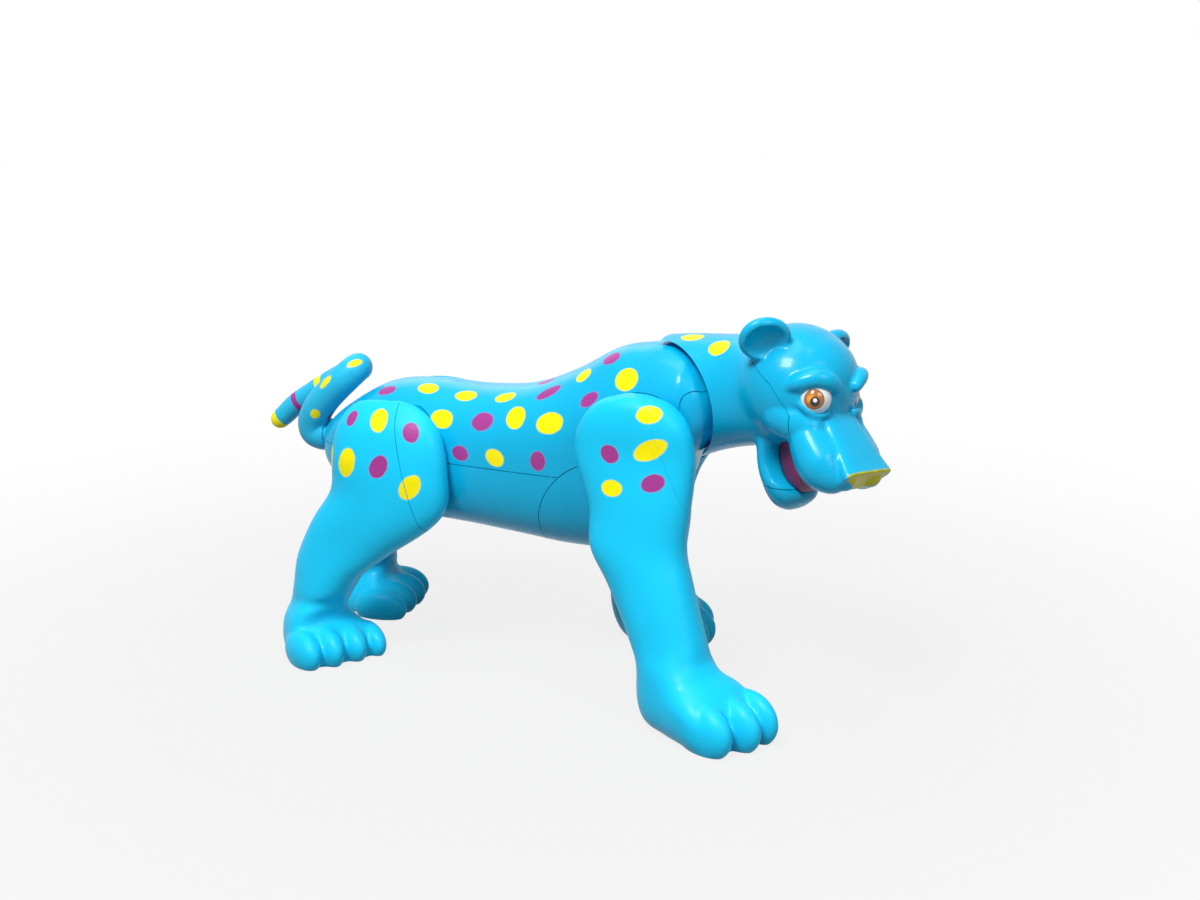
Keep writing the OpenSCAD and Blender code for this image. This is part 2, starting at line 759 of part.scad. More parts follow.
module rear_left_pivot() {
  color(deep_sky) place() mirror([0, 1, 0])
    leg_pivot(hip_x, hip_height, hip_seat, hind_parting);
}

// Rows of the tail: place and share of the way from root to tip
tail_rows = [
  [rump_x - part_gap, 0, hip_height, 0],
  [rump_x - 2, 0, hip_height, 0.08],
  [rump_x - 4.5, 0, hip_height + 0.9, 0.16],
  [rump_x - 5, -0.9, hip_height + 3.8 + 0.28 * tail_lift, 0.24],
  [rump_x - 2.6, -1.8, hip_height + 7.2 + 0.52 * tail_lift, 0.34],
  [rump_x + 1.4, -1.9, hip_height + 10.8 + 0.78 * tail_lift, 0.45],
  [rump_x + 5, -0.4, hip_height + 13.2 + 0.96 * tail_lift, 0.53],
  [rump_x + 4.6, 2.4, hip_height + 13.8 + tail_lift, 0.60],
  [rump_x + 0.6, 4, hip_height + 10.8 + 0.78 * tail_lift, 0.68],
  [rump_x - 5, 4.2, hip_height + 6.4 + 0.46 * tail_lift, 0.78],
  [rump_x - 10.6, 4.1, hip_height + 3 + 0.22 * tail_lift, 0.88],
  [rump_x - 15.2, 3.9, hip_height + 0.4, 0.97],
  [rump_x - 16, 3.9, hip_height - 0.1, 1]
];

// Ring of the tail at a place on its smooth path
function tail_ring(path, i) = let (
  step = held(path, i + 1) - held(path, i - 1),
  ahead = [step[0], step[1], step[2]] / norm([step[0], step[1], step[2]]),
  side = cross(ahead, [0, 1, 0]) / norm(cross(ahead, [0, 1, 0])),
  other = cross(side, ahead),
  share = path[i][3],
  tip = share > 0.95 ? 0.55 : 1,
  r = tip * (tail_d + (tail_tip_d - tail_d) * share) / 2,
  n = 16
) [
  for (k = [0:n - 1])
    [path[i][0], path[i][1], path[i][2]] + r * (side * cos(k * 360 / n) - other * sin(k * 360 / n))
];

// Tail with the flanged peg that swivels in the rump
module tail() {
  path = smooth_rows(tail_rows, 3);
  color(sky) place() union() {
    skin([for (i = [0:len(path) - 1]) tail_ring(path, i)]);
    translate([rump_x - 1, 0, hip_height]) rotate([0, 90, 0]) cylinder(d = peg_d, h = 7.2, $fn = 64);
    translate([rump_x + 6.2, 0, hip_height]) rotate([0, 90, 0]) cylinder(d = peg_d + 2.4, h = 1.4, $fn = 64);
  }
}

back_shell();
belly_shell();
chest_shell();
neck_pin();
neck_yoke();
neck_right_shell();
neck_left_shell();
face_shell();
jaw_shell();
tongue();
front_right_main();
front_right_panel();
front_right_pivot();
front_left_main();
front_left_panel();
front_left_pivot();
rear_right_main();
rear_right_panel();
rear_right_pivot();
rear_left_main();
rear_left_panel();
rear_left_pivot();
tail();
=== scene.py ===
import json
import math

import bpy
import numpy as np
from mathutils import Matrix, Vector


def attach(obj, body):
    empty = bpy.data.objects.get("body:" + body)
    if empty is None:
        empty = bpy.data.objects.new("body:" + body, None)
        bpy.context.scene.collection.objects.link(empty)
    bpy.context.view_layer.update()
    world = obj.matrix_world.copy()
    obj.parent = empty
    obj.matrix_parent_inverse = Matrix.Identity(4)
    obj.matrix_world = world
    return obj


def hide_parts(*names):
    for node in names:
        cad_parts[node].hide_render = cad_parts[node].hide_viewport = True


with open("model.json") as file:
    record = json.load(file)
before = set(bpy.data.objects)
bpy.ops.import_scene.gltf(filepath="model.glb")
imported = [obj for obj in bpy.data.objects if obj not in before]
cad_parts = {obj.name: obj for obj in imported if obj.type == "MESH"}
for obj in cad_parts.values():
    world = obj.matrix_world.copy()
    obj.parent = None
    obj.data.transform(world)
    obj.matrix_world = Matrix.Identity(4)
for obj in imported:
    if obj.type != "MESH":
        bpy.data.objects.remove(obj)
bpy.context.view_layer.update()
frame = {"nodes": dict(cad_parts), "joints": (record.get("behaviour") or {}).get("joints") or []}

bl_info = {
    "name": "Posable cheetah figure",
    "version": (1, 0, 0),
    "blender": (4, 5, 0),
    "location": "3D View > Sidebar > Cheetah",
    "description": "Dresses the frame of a posable toy cheetah with smooth spotted mouldings",
    "category": "Object",
}

# Lengths are in millimetres. Heights are above the ground, and y is measured from the figure's middle plane.
MM = 0.001
PIVOT = {joint["name"]: Vector(joint["pos_m"]) / MM for joint in frame["joints"]}
NECK = PIVOT["neck_nod"]
SHOULDER = PIVOT["front_right_swing"]
HIP = PIVOT["rear_right_swing"]
RUMP = PIVOT["tail_swivel"]
MIDDLE = Vector((0, NECK.y, 0))
FIGURE = Matrix.Scale(MM, 4) @ Matrix.Translation(MIDDLE)

# Torso: half width, wall, play of a disc in its seat, radii of the neck's cup and of the chest inside it
HALF = 11.0
WALL = 1.8
GAP = 0.4
KNUCKLE = 10.8
BREAST = 10.2
TORSO_LENGTH = 81.0
LIP_DEPTH = 0.5
LIP_PLAY = 0.04

# Legs: discs, floors of their seats and middles of the legs from the middle plane, pivots.
# The left shoulder's disc is smaller, so that it stays behind the neck.
SHOULDER_DISC = 9.0
LEFT_SHOULDER_DISC = 6.3
HIP_DISC = 10.0
SHOULDER_SEAT = HALF - 2.4
HIP_SEAT = HALF - 3.4
FORE_OUT = HALF + 2.2
HIND_OUT = HALF + 1.6
PIVOT_R = 2.4
FLANK_R = 20
PANEL_DROP = 24
LEG_GRAIN = 0.36

# Head: its frame, moved aside, turned and tilted on the neck
HEAD_ASIDE = 3.9
HEAD = (
    Matrix.Translation((NECK.x + 23, -HEAD_ASIDE, NECK.z + 5.5))
    @ Matrix.Rotation(math.radians(-24), 4, "Z")
    @ Matrix.Rotation(math.radians(-5), 4, "X")
)
HEAD_TURN = HEAD.to_3x3()


def from_srgb(red, green, blue):
    """Linear colour of a paint chip read in eight-bit steps."""
    steps = [part / 255 for part in (red, green, blue)]
    return tuple(s / 12.92 if s <= 0.04045 else ((s + 0.055) / 1.055) ** 2.4 for s in steps)


def paint_setting(name, description, *chip):
    """Colour setting whose default is a paint chip."""
    return bpy.props.FloatVectorProperty(name=name, description=description, subtype="COLOR",
                                         default=from_srgb(*chip), min=0, max=1)


def length_setting(name, description, default, low, high):
    """Length setting, with its default and limits in millimetres."""
    return bpy.props.FloatProperty(name=name, description=description, default=default * MM,
                                   min=low * MM, max=high * MM, unit="LENGTH")


class CheetahColours(bpy.types.PropertyGroup):
    """Colours of the plastics and paints."""

    body: paint_setting("Body", "Glossy blue of torso and head", 8, 172, 216)
    legs: paint_setting("Legs", "Satin blue of the legs", 22, 195, 239)
    tail: paint_setting("Tail", "Softer teal blue of the tail", 40, 180, 220)
    yellow: paint_setting("Yellow", "Paint of the yellow spots", 246, 232, 8)
    purple: paint_setting("Purple", "Paint of the purple spots", 160, 58, 140)
    nose: paint_setting("Nose", "Olive yellow paint of the nose", 196, 192, 20)
    mouth: paint_setting("Mouth", "Dark plum of the tongue", 112, 30, 82)
    iris: paint_setting("Iris", "Amber paint of the iris", 196, 120, 30)
    pin: paint_setting("Pin", "Steel of the neck pin", 196, 198, 200)
    floor: paint_setting("Floor", "Pale floor of the stage", 140, 140, 140)


class CheetahSizes(bpy.types.PropertyGroup):
    """Sizes of the fine work."""

    seam: length_setting("Seam", "Gap between two mouldings", 0.14, 0.02, 0.4)
    grain: length_setting("Clay grain", "Voxel of the modelled head", 0.25, 0.15, 0.6)
    softness: bpy.props.IntProperty(
        name="Softness", description="Rounds of smoothing on the modelled head", default=10, min=2, max=40)
    spot_edge: length_setting("Spot edge", "Width over which a painted edge fades", 0.16, 0.02, 1)
    eye: length_setting("Eye", "Radius of an eyeball", 2.7, 2, 3.4)


def metres(place):
    """Place in the scene of a point of the figure."""
    return (Vector(place) + MIDDLE) * MM


def settle():
    """Leaves edit mode and deselects everything."""
    if bpy.context.object and bpy.context.object.mode != "OBJECT":
        bpy.ops.object.mode_set(mode="OBJECT")
    bpy.ops.object.select_all(action="DESELECT")


def pick(*pieces):
    """Selects these pieces alone, the last one active."""
    settle()
    for piece in pieces:
        piece.select_set(True)
    bpy.context.view_layer.objects.active = pieces[-1]


def edit(piece, *steps):
    """Runs mesh operators, each with its settings, on the whole of a piece."""
    pick(piece)
    bpy.ops.object.mode_set(mode="EDIT")
    bpy.ops.mesh.select_all(action="SELECT")
    for operator, settings in steps:
        operator(**settings)
    bpy.ops.object.mode_set(mode="OBJECT")


def face_out(piece):
    """Turns all faces of a closed piece outwards."""
    edit(piece, (bpy.ops.mesh.normals_make_consistent, {"inside": False}))


def signed_power(value, power):
    """Power of the size of a number, with its sign kept."""
    return math.copysign(abs(value) ** power, value)


def smooth_rows(rows, steps):
    """Rows of a table with more rows between them on smooth curves."""
    rows = [np.array(row, float) for row in rows]
    last = len(rows) - 1
    out = []
    for i in range(last):
        a, b, c, d = rows[max(0, i - 1)], rows[i], rows[i + 1], rows[min(last, i + 2)]
        for k in range(steps):
            t = k / steps
            out.append(0.5 * (2 * b + (c - a) * t + (2 * a - 5 * b + 4 * c - d) * t * t
                              + (3 * b - a - 3 * c + d) * t ** 3))
    return out + [rows[last]]


def loft(name, rings):
    """Draws a ball out into a closed skin over rings of points."""
    settle()
    count, rows = len(rings[0]), len(rings)
    bpy.ops.mesh.primitive_uv_sphere_add(segments=count, ring_count=rows + 1, radius=1)
    piece = bpy.context.object
    piece.name = name
    ends = [sum((Vector(p) for p in ring), Vector()) / count for ring in (rings[0], rings[-1])]
    for point in piece.data.vertices:
        row = round(math.acos(max(-1, min(1, point.co.z))) / math.pi * (rows + 1))
        if row == 0:
            point.co = metres(ends[0])
        elif row == rows + 1:
            point.co = metres(ends[1])
        else:
            k = round(math.atan2(point.co.y, point.co.x) / math.tau * count) % count
            point.co = metres(rings[row - 1][k])
    face_out(piece)
    return piece


def oval(half_wide, half_high, power, count):
    """Points of a squared oval as pairs, wide then high."""
    return [(half_wide * signed_power(math.cos(math.tau * k / count), power),
             half_high * signed_power(math.sin(math.tau * k / count), power)) for k in range(count)]


def rope(rows, steps, count, caps=(True, True)):
    """Rings of a tapered rope along rows of place and radius, with round ends where asked."""
    rows = smooth_rows(rows, steps)
    path = [Vector(row[:3]) for row in rows]
    last = len(path) - 1
    climb = [math.radians(angle) for angle in (18, 36, 54, 70, 82)]
    rings = []
    side = None
    for i, middle in enumerate(path):
        ahead = (path[min(i + 1, last)] - path[max(i - 1, 0)]).normalized()
        side = ahead.orthogonal() if side is None else side - ahead * side.dot(ahead)
        side.normalize()
        other = ahead.cross(side)
        turns = [side * math.cos(math.tau * k / count) + other * math.sin(math.tau * k / count)
                 for k in range(count)]
        radius = rows[i][3]

        def dome(way):
            return [[middle + ahead * (radius * math.sin(a) * way) + turn * (radius * math.cos(a))
                     for turn in turns] for a in climb]

        if i == 0 and caps[0]:
            rings += reversed(dome(-1))
        rings.append([middle + turn * radius for turn in turns])
        if i == last and caps[1]:
            rings += dome(1)
    return rings


def set_down(piece, name):
    """Puts an object's place into its mesh."""
    pick(piece)
    piece.name = name
    bpy.ops.object.transform_apply(location=True, rotation=True, scale=True)
    return piece


def rod(name, start, end, radius):
    """Round rod from one point to another."""
    a, b = metres(start), metres(end)
    settle()
    bpy.ops.mesh.primitive_cylinder_add(
        vertices=96, radius=radius * MM, depth=(b - a).length, location=(a + b) / 2,
        rotation=(b - a).to_track_quat("Z", "Y").to_euler())
    return set_down(bpy.context.object, name)


def cross_rod(name, x, z, radius, y_from, y_to):
    """Round rod across the figure."""
    return rod(name, (x, y_from, z), (x, y_to, z), radius)


def block(name, low, high, place=Matrix.Identity(4)):
    """Box between two corners, turned and moved by a matrix where one is given."""
    low, high = Vector(low), Vector(high)
    settle()
    bpy.ops.mesh.primitive_cube_add(size=1)
    piece = bpy.context.object
    middle = Matrix.Translation((low + high) / 2) @ Matrix.Diagonal((*(high - low), 1))
    piece.matrix_world = FIGURE @ place @ middle
    return set_down(piece, name)


def slab(name, outline, y_from, y_to):
    """Side outline drawn out across the figure."""
    settle()
    bpy.ops.mesh.primitive_circle_add(vertices=len(outline), fill_type="NGON")
    piece = bpy.context.object
    piece.name = name
    for point, (x, z) in zip(piece.data.vertices, outline):
        point.co = metres((x, y_from, z))
    across = {"value": (0, (y_to - y_from) * MM, 0)}
    edit(piece, (bpy.ops.mesh.extrude_region_move, {"TRANSFORM_OT_translate": across}))
    face_out(piece)
    return piece


def ball(name, middle, half_sizes, turn=Matrix.Identity(4), place=HEAD):
    """Round ball with three half sizes, set in the head or at another place."""
    settle()
    bpy.ops.mesh.primitive_uv_sphere_add(segments=64, ring_count=32, radius=1)
    piece = bpy.context.object
    piece.matrix_world = FIGURE @ place @ Matrix.Translation(middle) @ turn @ Matrix.Diagonal((*half_sizes, 1))
    return set_down(piece, name)


def copy_of(piece, name):
    """Copy of a piece with a mesh of its own."""
    twin = piece.copy()
    twin.data = piece.data.copy()
    twin.name = name
    bpy.context.collection.objects.link(twin)
    return twin


def press(piece, kind, **settings):
    """Adds a modifier with these settings and applies it."""
    pick(piece)
    step = piece.modifiers.new(kind.lower(), kind)
    for key, value in settings.items():
        setattr(step, key, value)
    bpy.ops.object.modifier_apply(modifier=step.name)
    return piece


def carve(piece, tool, how="DIFFERENCE", keep=False):
    """Cuts a piece with a tool, or joins or trims it, and takes the tool away."""
    press(piece, "BOOLEAN", operation=how, object=tool, solver="EXACT")
    if not keep:
        bpy.data.objects.remove(tool)
    return piece


def trim(piece, place, facing):
    """Cuts a piece flat at a plane and keeps the part behind it."""
    edit(piece, (bpy.ops.mesh.bisect, {"plane_co": metres(place), "plane_no": facing, "use_fill": True,
                                       "clear_outer": True, "threshold": 1e-8}))


def lump(name, *pieces):
    """Joins pieces into one object."""
    pick(*pieces)
    bpy.ops.object.join()
    bpy.context.object.name = name
    return bpy.context.object


def knead(piece, grain, rounds):
    """Turns joined forms into one skin and smooths it."""
    press(piece, "REMESH", mode="VOXEL", voxel_size=grain)
    return press(piece, "SMOOTH", factor=0.5, iterations=rounds)


def soften(piece, share, rounds):
    """Smooths a piece further where a share, worked out from each place, is above nought."""
    group = piece.vertex_groups.new(name="soft")
    for point in piece.data.vertices:
        weight = share(point.co / MM - MIDDLE)
        if weight > 0:
            group.add([point.index], min(1, weight), "REPLACE")
    press(piece, "SMOOTH", factor=0.5, iterations=rounds, vertex_group="soft")
    piece.vertex_groups.clear()


def dress(piece, name, body, finish, nodes=(), angle=32):
    """Finishes a piece: clean mesh, smooth shading, material and place on its body."""
    piece.name = piece.data.name = name
    edit(piece, (bpy.ops.mesh.remove_doubles, {"threshold": 1e-6}),
         (bpy.ops.mesh.dissolve_degenerate, {"threshold": 1e-7}))
    bpy.ops.object.shade_smooth_by_angle(angle=math.radians(angle))
    piece.data.materials.clear()
    piece.data.materials.append(finish)
    for face in piece.data.polygons:
        face.material_index = 0
    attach(piece, body)
    if nodes:
        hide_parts(*nodes)


# Painted spots of the right side: place, half length as a direction, half width, in the scene's millimetres
TORSO_SPOTS = {
    "yellow": [
        ((17.4, -6.5, 56.6), (-1.8, -0.2, -1.1), 2.0),
        ((8.6, -3.9, 55.7), (-1.4, -0.3, -0.7), 1.3),
        ((-23.5, -2.4, 50.6), (-2.1, 0.3, 0.2), 1.5),
        ((-15.3, -3.2, 50.2), (-2.1, -0.1, 0.0), 1.4),
        ((-7.2, -3.5, 50.7), (-1.9, -0.5, -0.4), 1.2),
        ((-3.5, -6.8, 48.0), (-0.3, -0.9, -1.9), 1.9),
        ((-18.4, -6.7, 46.3), (-2.2, 0.1, 0.3), 1.7),
        ((3.6, -7.8, 47.9), (-2.6, 0.0, -0.7), 1.9),
        ((-6.9, -8.5, 40.8), (-1.8, 0.1, 0.7), 1.5),
        ((-9.8, 1.6, 51.2), (-2.0, 0.3, 0.0), 1.4),
    ],
    "purple": [
        ((13.3, -2.7, 58.7), (-1.4, -0.5, -0.8), 1.5),
        ((1.9, -4.5, 52.4), (-2.3, -0.4, -1.2), 1.1),
        ((10.9, -7.1, 52.6), (-1.6, -0.2, -1.1), 1.1),
        ((-10.1, -6.9, 46.7), (-2.1, -0.2, -0.6), 1.7),
        ((-14.0, -8.2, 40.8), (-1.7, 0.1, 0.3), 1.4),
        ((1.7, -8.8, 41.2), (-0.1, -0.1, -1.8), 1.5),
        ((-31.8, -2.6, 49.0), (-1.9, 0.2, -0.6), 1.2),
        ((-19.9, 1.8, 51.3), (-1.9, 0.2, 0.0), 1.3),
        ((-0.6, -0.2, 53.2), (-1.8, 0.2, -0.4), 1.2),
    ],
}
NECK_SPOTS = {
    "yellow": [
        ((26.7, 0.1, 63.4), (-2.0, 0.5, -0.2), 1.7),
        ((32.9, -3.7, 62.9), (-1.8, 0.2, -0.1), 2.0),
    ],
}
FORE_SPOTS = {
    "yellow": [
        ((24.8, -14.4, 52.9), (-2.1, -0.5, -0.3), 1.5),
        ((25.3, -15.2, 47.1), (-2.6, -0.4, -1.3), 1.6),
        ((18.9, -16.3, 40.2), (-1.9, 0.1, 0.0), 1.4),
    ],
    "purple": [
        ((18.2, -15.5, 45.8), (-1.6, 0.1, 0.8), 1.5),
        ((26.1, -15.8, 41.7), (-1.9, -0.4, -0.7), 1.5),
    ],
}
HIND_SPOTS = {
    "yellow": [
        ((-27.9, -12.6, 46.5), (0.4, -1.2, -1.9), 1.7),
        ((-33.8, -14.6, 38.5), (-0.8, -0.1, -2.6), 1.9),
        ((-20.8, -14.6, 35.3), (-1.5, -0.4, -2.0), 1.7),
        ((-38.2, -11.9, 38.2), (0.0, 0.0, -2.6), 1.3),
    ],
    "purple": [
        ((-33.8, -12.1, 46.1), (-0.3, -0.7, -1.4), 1.2),
        ((-21.3, -12.8, 44.9), (0.6, -0.6, -1.7), 1.5),
        ((-26.9, -15.0, 38.5), (-1.3, -0.2, -1.9), 1.7),
    ],
}
TAIL_SPOTS = {
    "yellow": [
        ((-48.5, -1.6, 43.6), (0.7, 0, 0.8), 0.9),
        ((-45.4, -1.4, 49.4), (1.0, 0, 1.25), 0.75),
        ((-40.4, -0.3, 53.6), (1.1, 0.2, 0.9), 0.7),
    ],
    "purple": [((-45.6, -0.2, 42.0), (1.0, 0, 0.1), 0.6)],
}
# Painted bands of the tail: start and end, measured from its tip
TAIL_BANDS = {"yellow": ((-1, 2.6), (14.2, 15.9)), "purple": ((7.6, 8.9),)}
UNPAINTED = 9.0


def mirrored(spots):
    """The same spots on the left side, with the colours changed over."""
    flip = Vector((1, -1, 1))
    swap = {"yellow": "purple", "purple": "yellow"}
    return {swap[colour]: [((Vector(p) - MIDDLE) * flip + MIDDLE, Vector(u) * flip, w) for p, u, w in rows]
            for colour, rows in spots.items()}


def both_sides(spots):
    """Spots of the right side and their mirror images, without those that would meet on the back."""
    left = mirrored(spots)
    return {colour: [s for s in rows if s[0][1] < 1] + [s for s in left[colour] if s[0][1] > 3]
            for colour, rows in spots.items()}


def points_of(piece, what="co"):
    """Places or normals of a piece's points as an array."""
    values = np.zeros(len(piece.data.vertices) * 3)
    piece.data.vertices.foreach_get(what, values)
    return values.reshape(-1, 3)


def store(piece, name, values):
    """Keeps one number for each point of a piece."""
    piece.data.attributes.new(name, "FLOAT", "POINT")
    piece.data.attributes[name].data.foreach_set("value", np.asarray(values, np.float32))


def beyond_spot(place, normal, middle, along, half_width):
    """How far each point lies outside a spot that is laid flat on the skin round its middle."""
    feel, depth = 2.5, 2.2
    off = place - np.array(middle)
    side = np.array((0, -1 if middle[1] < 3 else 1, 0.4))
    up = normal[((off ** 2).sum(1) < feel ** 2) & (normal @ side > 0)].sum(0)
    if not up.any():
        return np.full(len(place), UNPAINTED)
    up /= np.linalg.norm(up)
    along = np.array(along, float)
    half_length = np.linalg.norm(along)
    along = along - up * (along @ up)
    along /= np.linalg.norm(along)
    across = np.cross(up, along)
    share = np.hypot(off @ along / half_length, off @ across / half_width)
    out = (share - 1) * min(half_length, half_width)
    out[(np.abs(off @ up) > depth) | (normal @ up < 0.1)] = UNPAINTED
    return out


def mark(piece, spots, from_tip=None):
    """Stores how far each point lies outside the nearest spot or band of either colour, in millimetres."""
    place, normal = points_of(piece) / MM, points_of(piece, "normal")
    for colour in ("yellow", "purple"):
        edge = np.full(len(place), UNPAINTED)
        for spot in spots.get(colour, ()):
            edge = np.minimum(edge, beyond_spot(place, normal, *spot))
        if from_tip is not None:
            for low, high in TAIL_BANDS[colour]:
                edge = np.minimum(edge, np.maximum(low - from_tip, from_tip - high))
        store(piece, colour + "_edge", edge)


class Nodes:
    """Short calls for the nodes and links of an emptied node tree."""

    def __init__(self, tree):
        self.tree = tree
        tree.nodes.clear()

    def add(self, kind, **settings):
        """New node with these settings."""
        node = self.tree.nodes.new("ShaderNode" + kind)
        for key, value in settings.items():
            setattr(node, key, value)
        return node

    def feed(self, socket, value):
        """Links a socket to another one, or sets its value."""
        if isinstance(value, bpy.types.NodeSocket):
            self.tree.links.new(value, socket)
        else:
            socket.default_value = value

    def set(self, node, **values):
        """Feeds the sockets of a node by their names."""
        for key, value in values.items():
            self.feed(node.inputs[key.replace("_", " ")], value)
        return node

    def calc(self, kind, a, b):
        """Two values added, multiplied or compared."""
        node = self.add("Math", operation=kind)
        self.feed(node.inputs[0], a)
        self.feed(node.inputs[1], b)
        return node.outputs[0]

    def blend(self, share, first, second):
        """Share of one shader over another."""
        node = self.add("MixShader")
        for socket, value in zip(node.inputs, (share, first.outputs[0], second.outputs[0])):
            self.feed(socket, value)
        return node.outputs[0]

    def seen(self):
        """One for the rays that show the plain white background, nought for those that light the figure."""
        ray = self.add("LightPath")
        either = self.calc("MAXIMUM", ray.outputs["Is Camera Ray"], ray.outputs["Is Glossy Ray"])
        return self.calc("MAXIMUM", either, ray.outputs["Is Transmission Ray"])


class Surface(Nodes):
    """Nodes of a new material on object coordinates."""

    def __init__(self, name):
        self.material = bpy.data.materials.new(name)
        self.material.use_nodes = True
        super().__init__(self.material.node_tree)
        self.out = self.add("OutputMaterial")
        self.shader = self.add("BsdfPrincipled")
        self.feed(self.out.inputs[0], self.shader.outputs[0])
        self.place = self.add("TexCoord").outputs["Object"]

    def noise(self, scale, detail):
        """Noise with a number of cells to the metre."""
        return self.set(self.add("TexNoise"), Vector=self.place, Scale=scale, Detail=detail).outputs[0]

    def span(self, value, low, high, to_low, to_high, kind="LINEAR"):
        """Value moved from one range to another."""
        node = self.add("MapRange", interpolation_type=kind)
        self.set(node, Value=value, From_Min=low, From_Max=high, To_Min=to_low, To_Max=to_high)
        return node.outputs[0]

    def edge(self, value, low, high):
        """Soft step from nought to one."""
        return self.span(value, low, high, 0, 1, "SMOOTHSTEP")

    def within(self, value, low, high):
        """Soft step from one to nought."""
        return self.span(value, low, high, 1, 0, "SMOOTHSTEP")

    def mix(self, share, a, b):
        """Share of one colour over another."""
        node = self.add("Mix", data_type="RGBA")
        for k, value in ((0, share), (6, a), (7, b)):
            self.feed(node.inputs[k], value)
        return node.outputs[2]

    def clouds(self, scale, detail, dark, pale):
        """Cloudy colour between a dark and a pale one."""
        return self.mix(self.span(self.noise(scale, detail), 0.3, 0.7, 0, 1), (*dark, 1.0), (*pale, 1.0))

    def uneven(self, scale, detail, middle, swing):
        """Roughness that varies round its middle."""
        return self.span(self.noise(scale, detail), 0.25, 0.75, middle - swing, middle + swing)

    def kept(self, name):
        """Number that was stored for each point."""
        return self.add("Attribute", attribute_name=name).outputs["Fac"]

    def bump(self, height, strength, distance=0.0002):
        """Normal of a fine relief."""
        return self.set(self.add("Bump"), Height=height, Strength=strength, Distance=distance).outputs[0]


def shade(colour, amount):
    """Lighter or darker colour."""
    return tuple(min(1.0, part * amount) for part in colour)


def moulded_plastic(name, colour, roughness, coat, nosed=False):
    """Moulded plastic with faint flow clouds, a fine skin, painted spots and, on the face, a painted nose."""
    look, size = bpy.context.scene.cheetah_colours, bpy.context.scene.cheetah_sizes
    nodes = Surface(name)
    paint = nodes.clouds(70, 4, shade(colour, 0.94), shade(colour, 1.05))
    rough = nodes.uneven(420, 5, roughness, 0.05)
    skin = nodes.bump(nodes.noise(2600, 2), 0.05)
    ragged = nodes.span(nodes.noise(700, 2), 0.2, 0.8, -0.07, 0.07)
    fade = size.spot_edge / MM
    inks = {"yellow_edge": look.yellow, "purple_edge": look.purple}
    if nosed:
        inks["nose_edge"] = look.nose
    for edge, ink in inks.items():
        share = nodes.within(nodes.calc("ADD", nodes.kept(edge), ragged), -fade, fade)
        paint = nodes.mix(share, paint, nodes.clouds(260, 3, shade(ink, 0.9), shade(ink, 1.04)))
        rough = nodes.calc("ADD", rough, nodes.calc("MULTIPLY", share, 0.06))
    nodes.set(nodes.shader, Base_Color=paint, Roughness=rough, Normal=skin,
              Coat_Weight=coat, Coat_Roughness=0.12, Specular_IOR_Level=0.14)
    return nodes.material


def plain_finish(name, colour, roughness, metallic=0.0):
    """Plain moulded or drawn surface with clouds and a fine grain."""
    nodes = Surface(name)
    nodes.set(nodes.shader, Base_Color=nodes.clouds(180, 4, shade(colour, 0.85), shade(colour, 1.1)),
              Roughness=nodes.uneven(500, 4, roughness, 0.07), Metallic=metallic,
              Normal=nodes.bump(nodes.noise(1200, 3), 0.12))
    return nodes.material


FINISH = {}


def finishes():
    """Materials of the figure, made once."""
    if not FINISH:
        look = bpy.context.scene.cheetah_colours
        FINISH["body"] = moulded_plastic("glossy_blue", look.body, 0.28, 0.12)
        FINISH["legs"] = moulded_plastic("satin_blue", look.legs, 0.42, 0.03)
        FINISH["tail"] = moulded_plastic("teal_blue", look.tail, 0.42, 0.05)
        FINISH["face"] = moulded_plastic("glossy_blue_face", look.body, 0.28, 0.12, nosed=True)
        FINISH["mouth"] = plain_finish("plum_plastic", look.mouth, 0.45)
        FINISH["inner"] = plain_finish("inner_plastic", look.legs, 0.5)
        FINISH["pin"] = plain_finish("drawn_steel", look.pin, 0.3, metallic=1.0)
    return FINISH


def torso_rows():
    """Rows of the torso from rump to chest: place, top, bottom, half width."""
    hip, back, withers, belly = HIP.z, 51.5, NECK.z + KNUCKLE, 24.5
    rows = [
        (0, hip + 2.2, hip - 3.5, 0.24),
        (1.6, hip + 3.9, hip - 6, 0.45),
        (6, back - 5.5, belly + 4.8, 0.68),
        (14, back - 1.1, belly + 2.6, 0.83),
        (23, back, belly + 1.4, 0.89),
        (33, back - 0.2, belly + 1, 0.94),
        (43, back + 0.9, belly + 0.3, 0.98),
        (52, back + 4.4, belly - 0.4, 1),
        (TORSO_LENGTH - 21, withers - 2.5, belly, 1),
        (TORSO_LENGTH - 15, withers - 1.2, belly + 2.6, 1),
        (TORSO_LENGTH - KNUCKLE, withers - 0.7, belly + 7.2, 1),
    ]
    for angle, low, width in ((68, 1.1, 0.96), (57, 1, 0.92), (46, 1, 0.87), (28, 1, 0.73),
                              (13, 1, 0.5), (4, 1, 0.25)):
        a = math.radians(angle)
        rows.append((TORSO_LENGTH - KNUCKLE + BREAST * math.cos(a), NECK.z + BREAST * math.sin(a),
                     NECK.z - BREAST * math.sin(a) * low, width))
    return [(RUMP.x + x, top, bottom, width * HALF) for x, top, bottom, width in rows]


def torso_skin(name, rows, inset, steps, count):
    """Skin over rows of the torso, drawn in by an inset."""
    rings = []
    for x, top, bottom, wide in smooth_rows(rows, steps):
        ring = oval(wide - inset, (top - bottom) / 2 - inset, 0.82, count)
        rings.append([(x, y, (top + bottom) / 2 + z) for y, z in ring])
    return loft(name, rings)


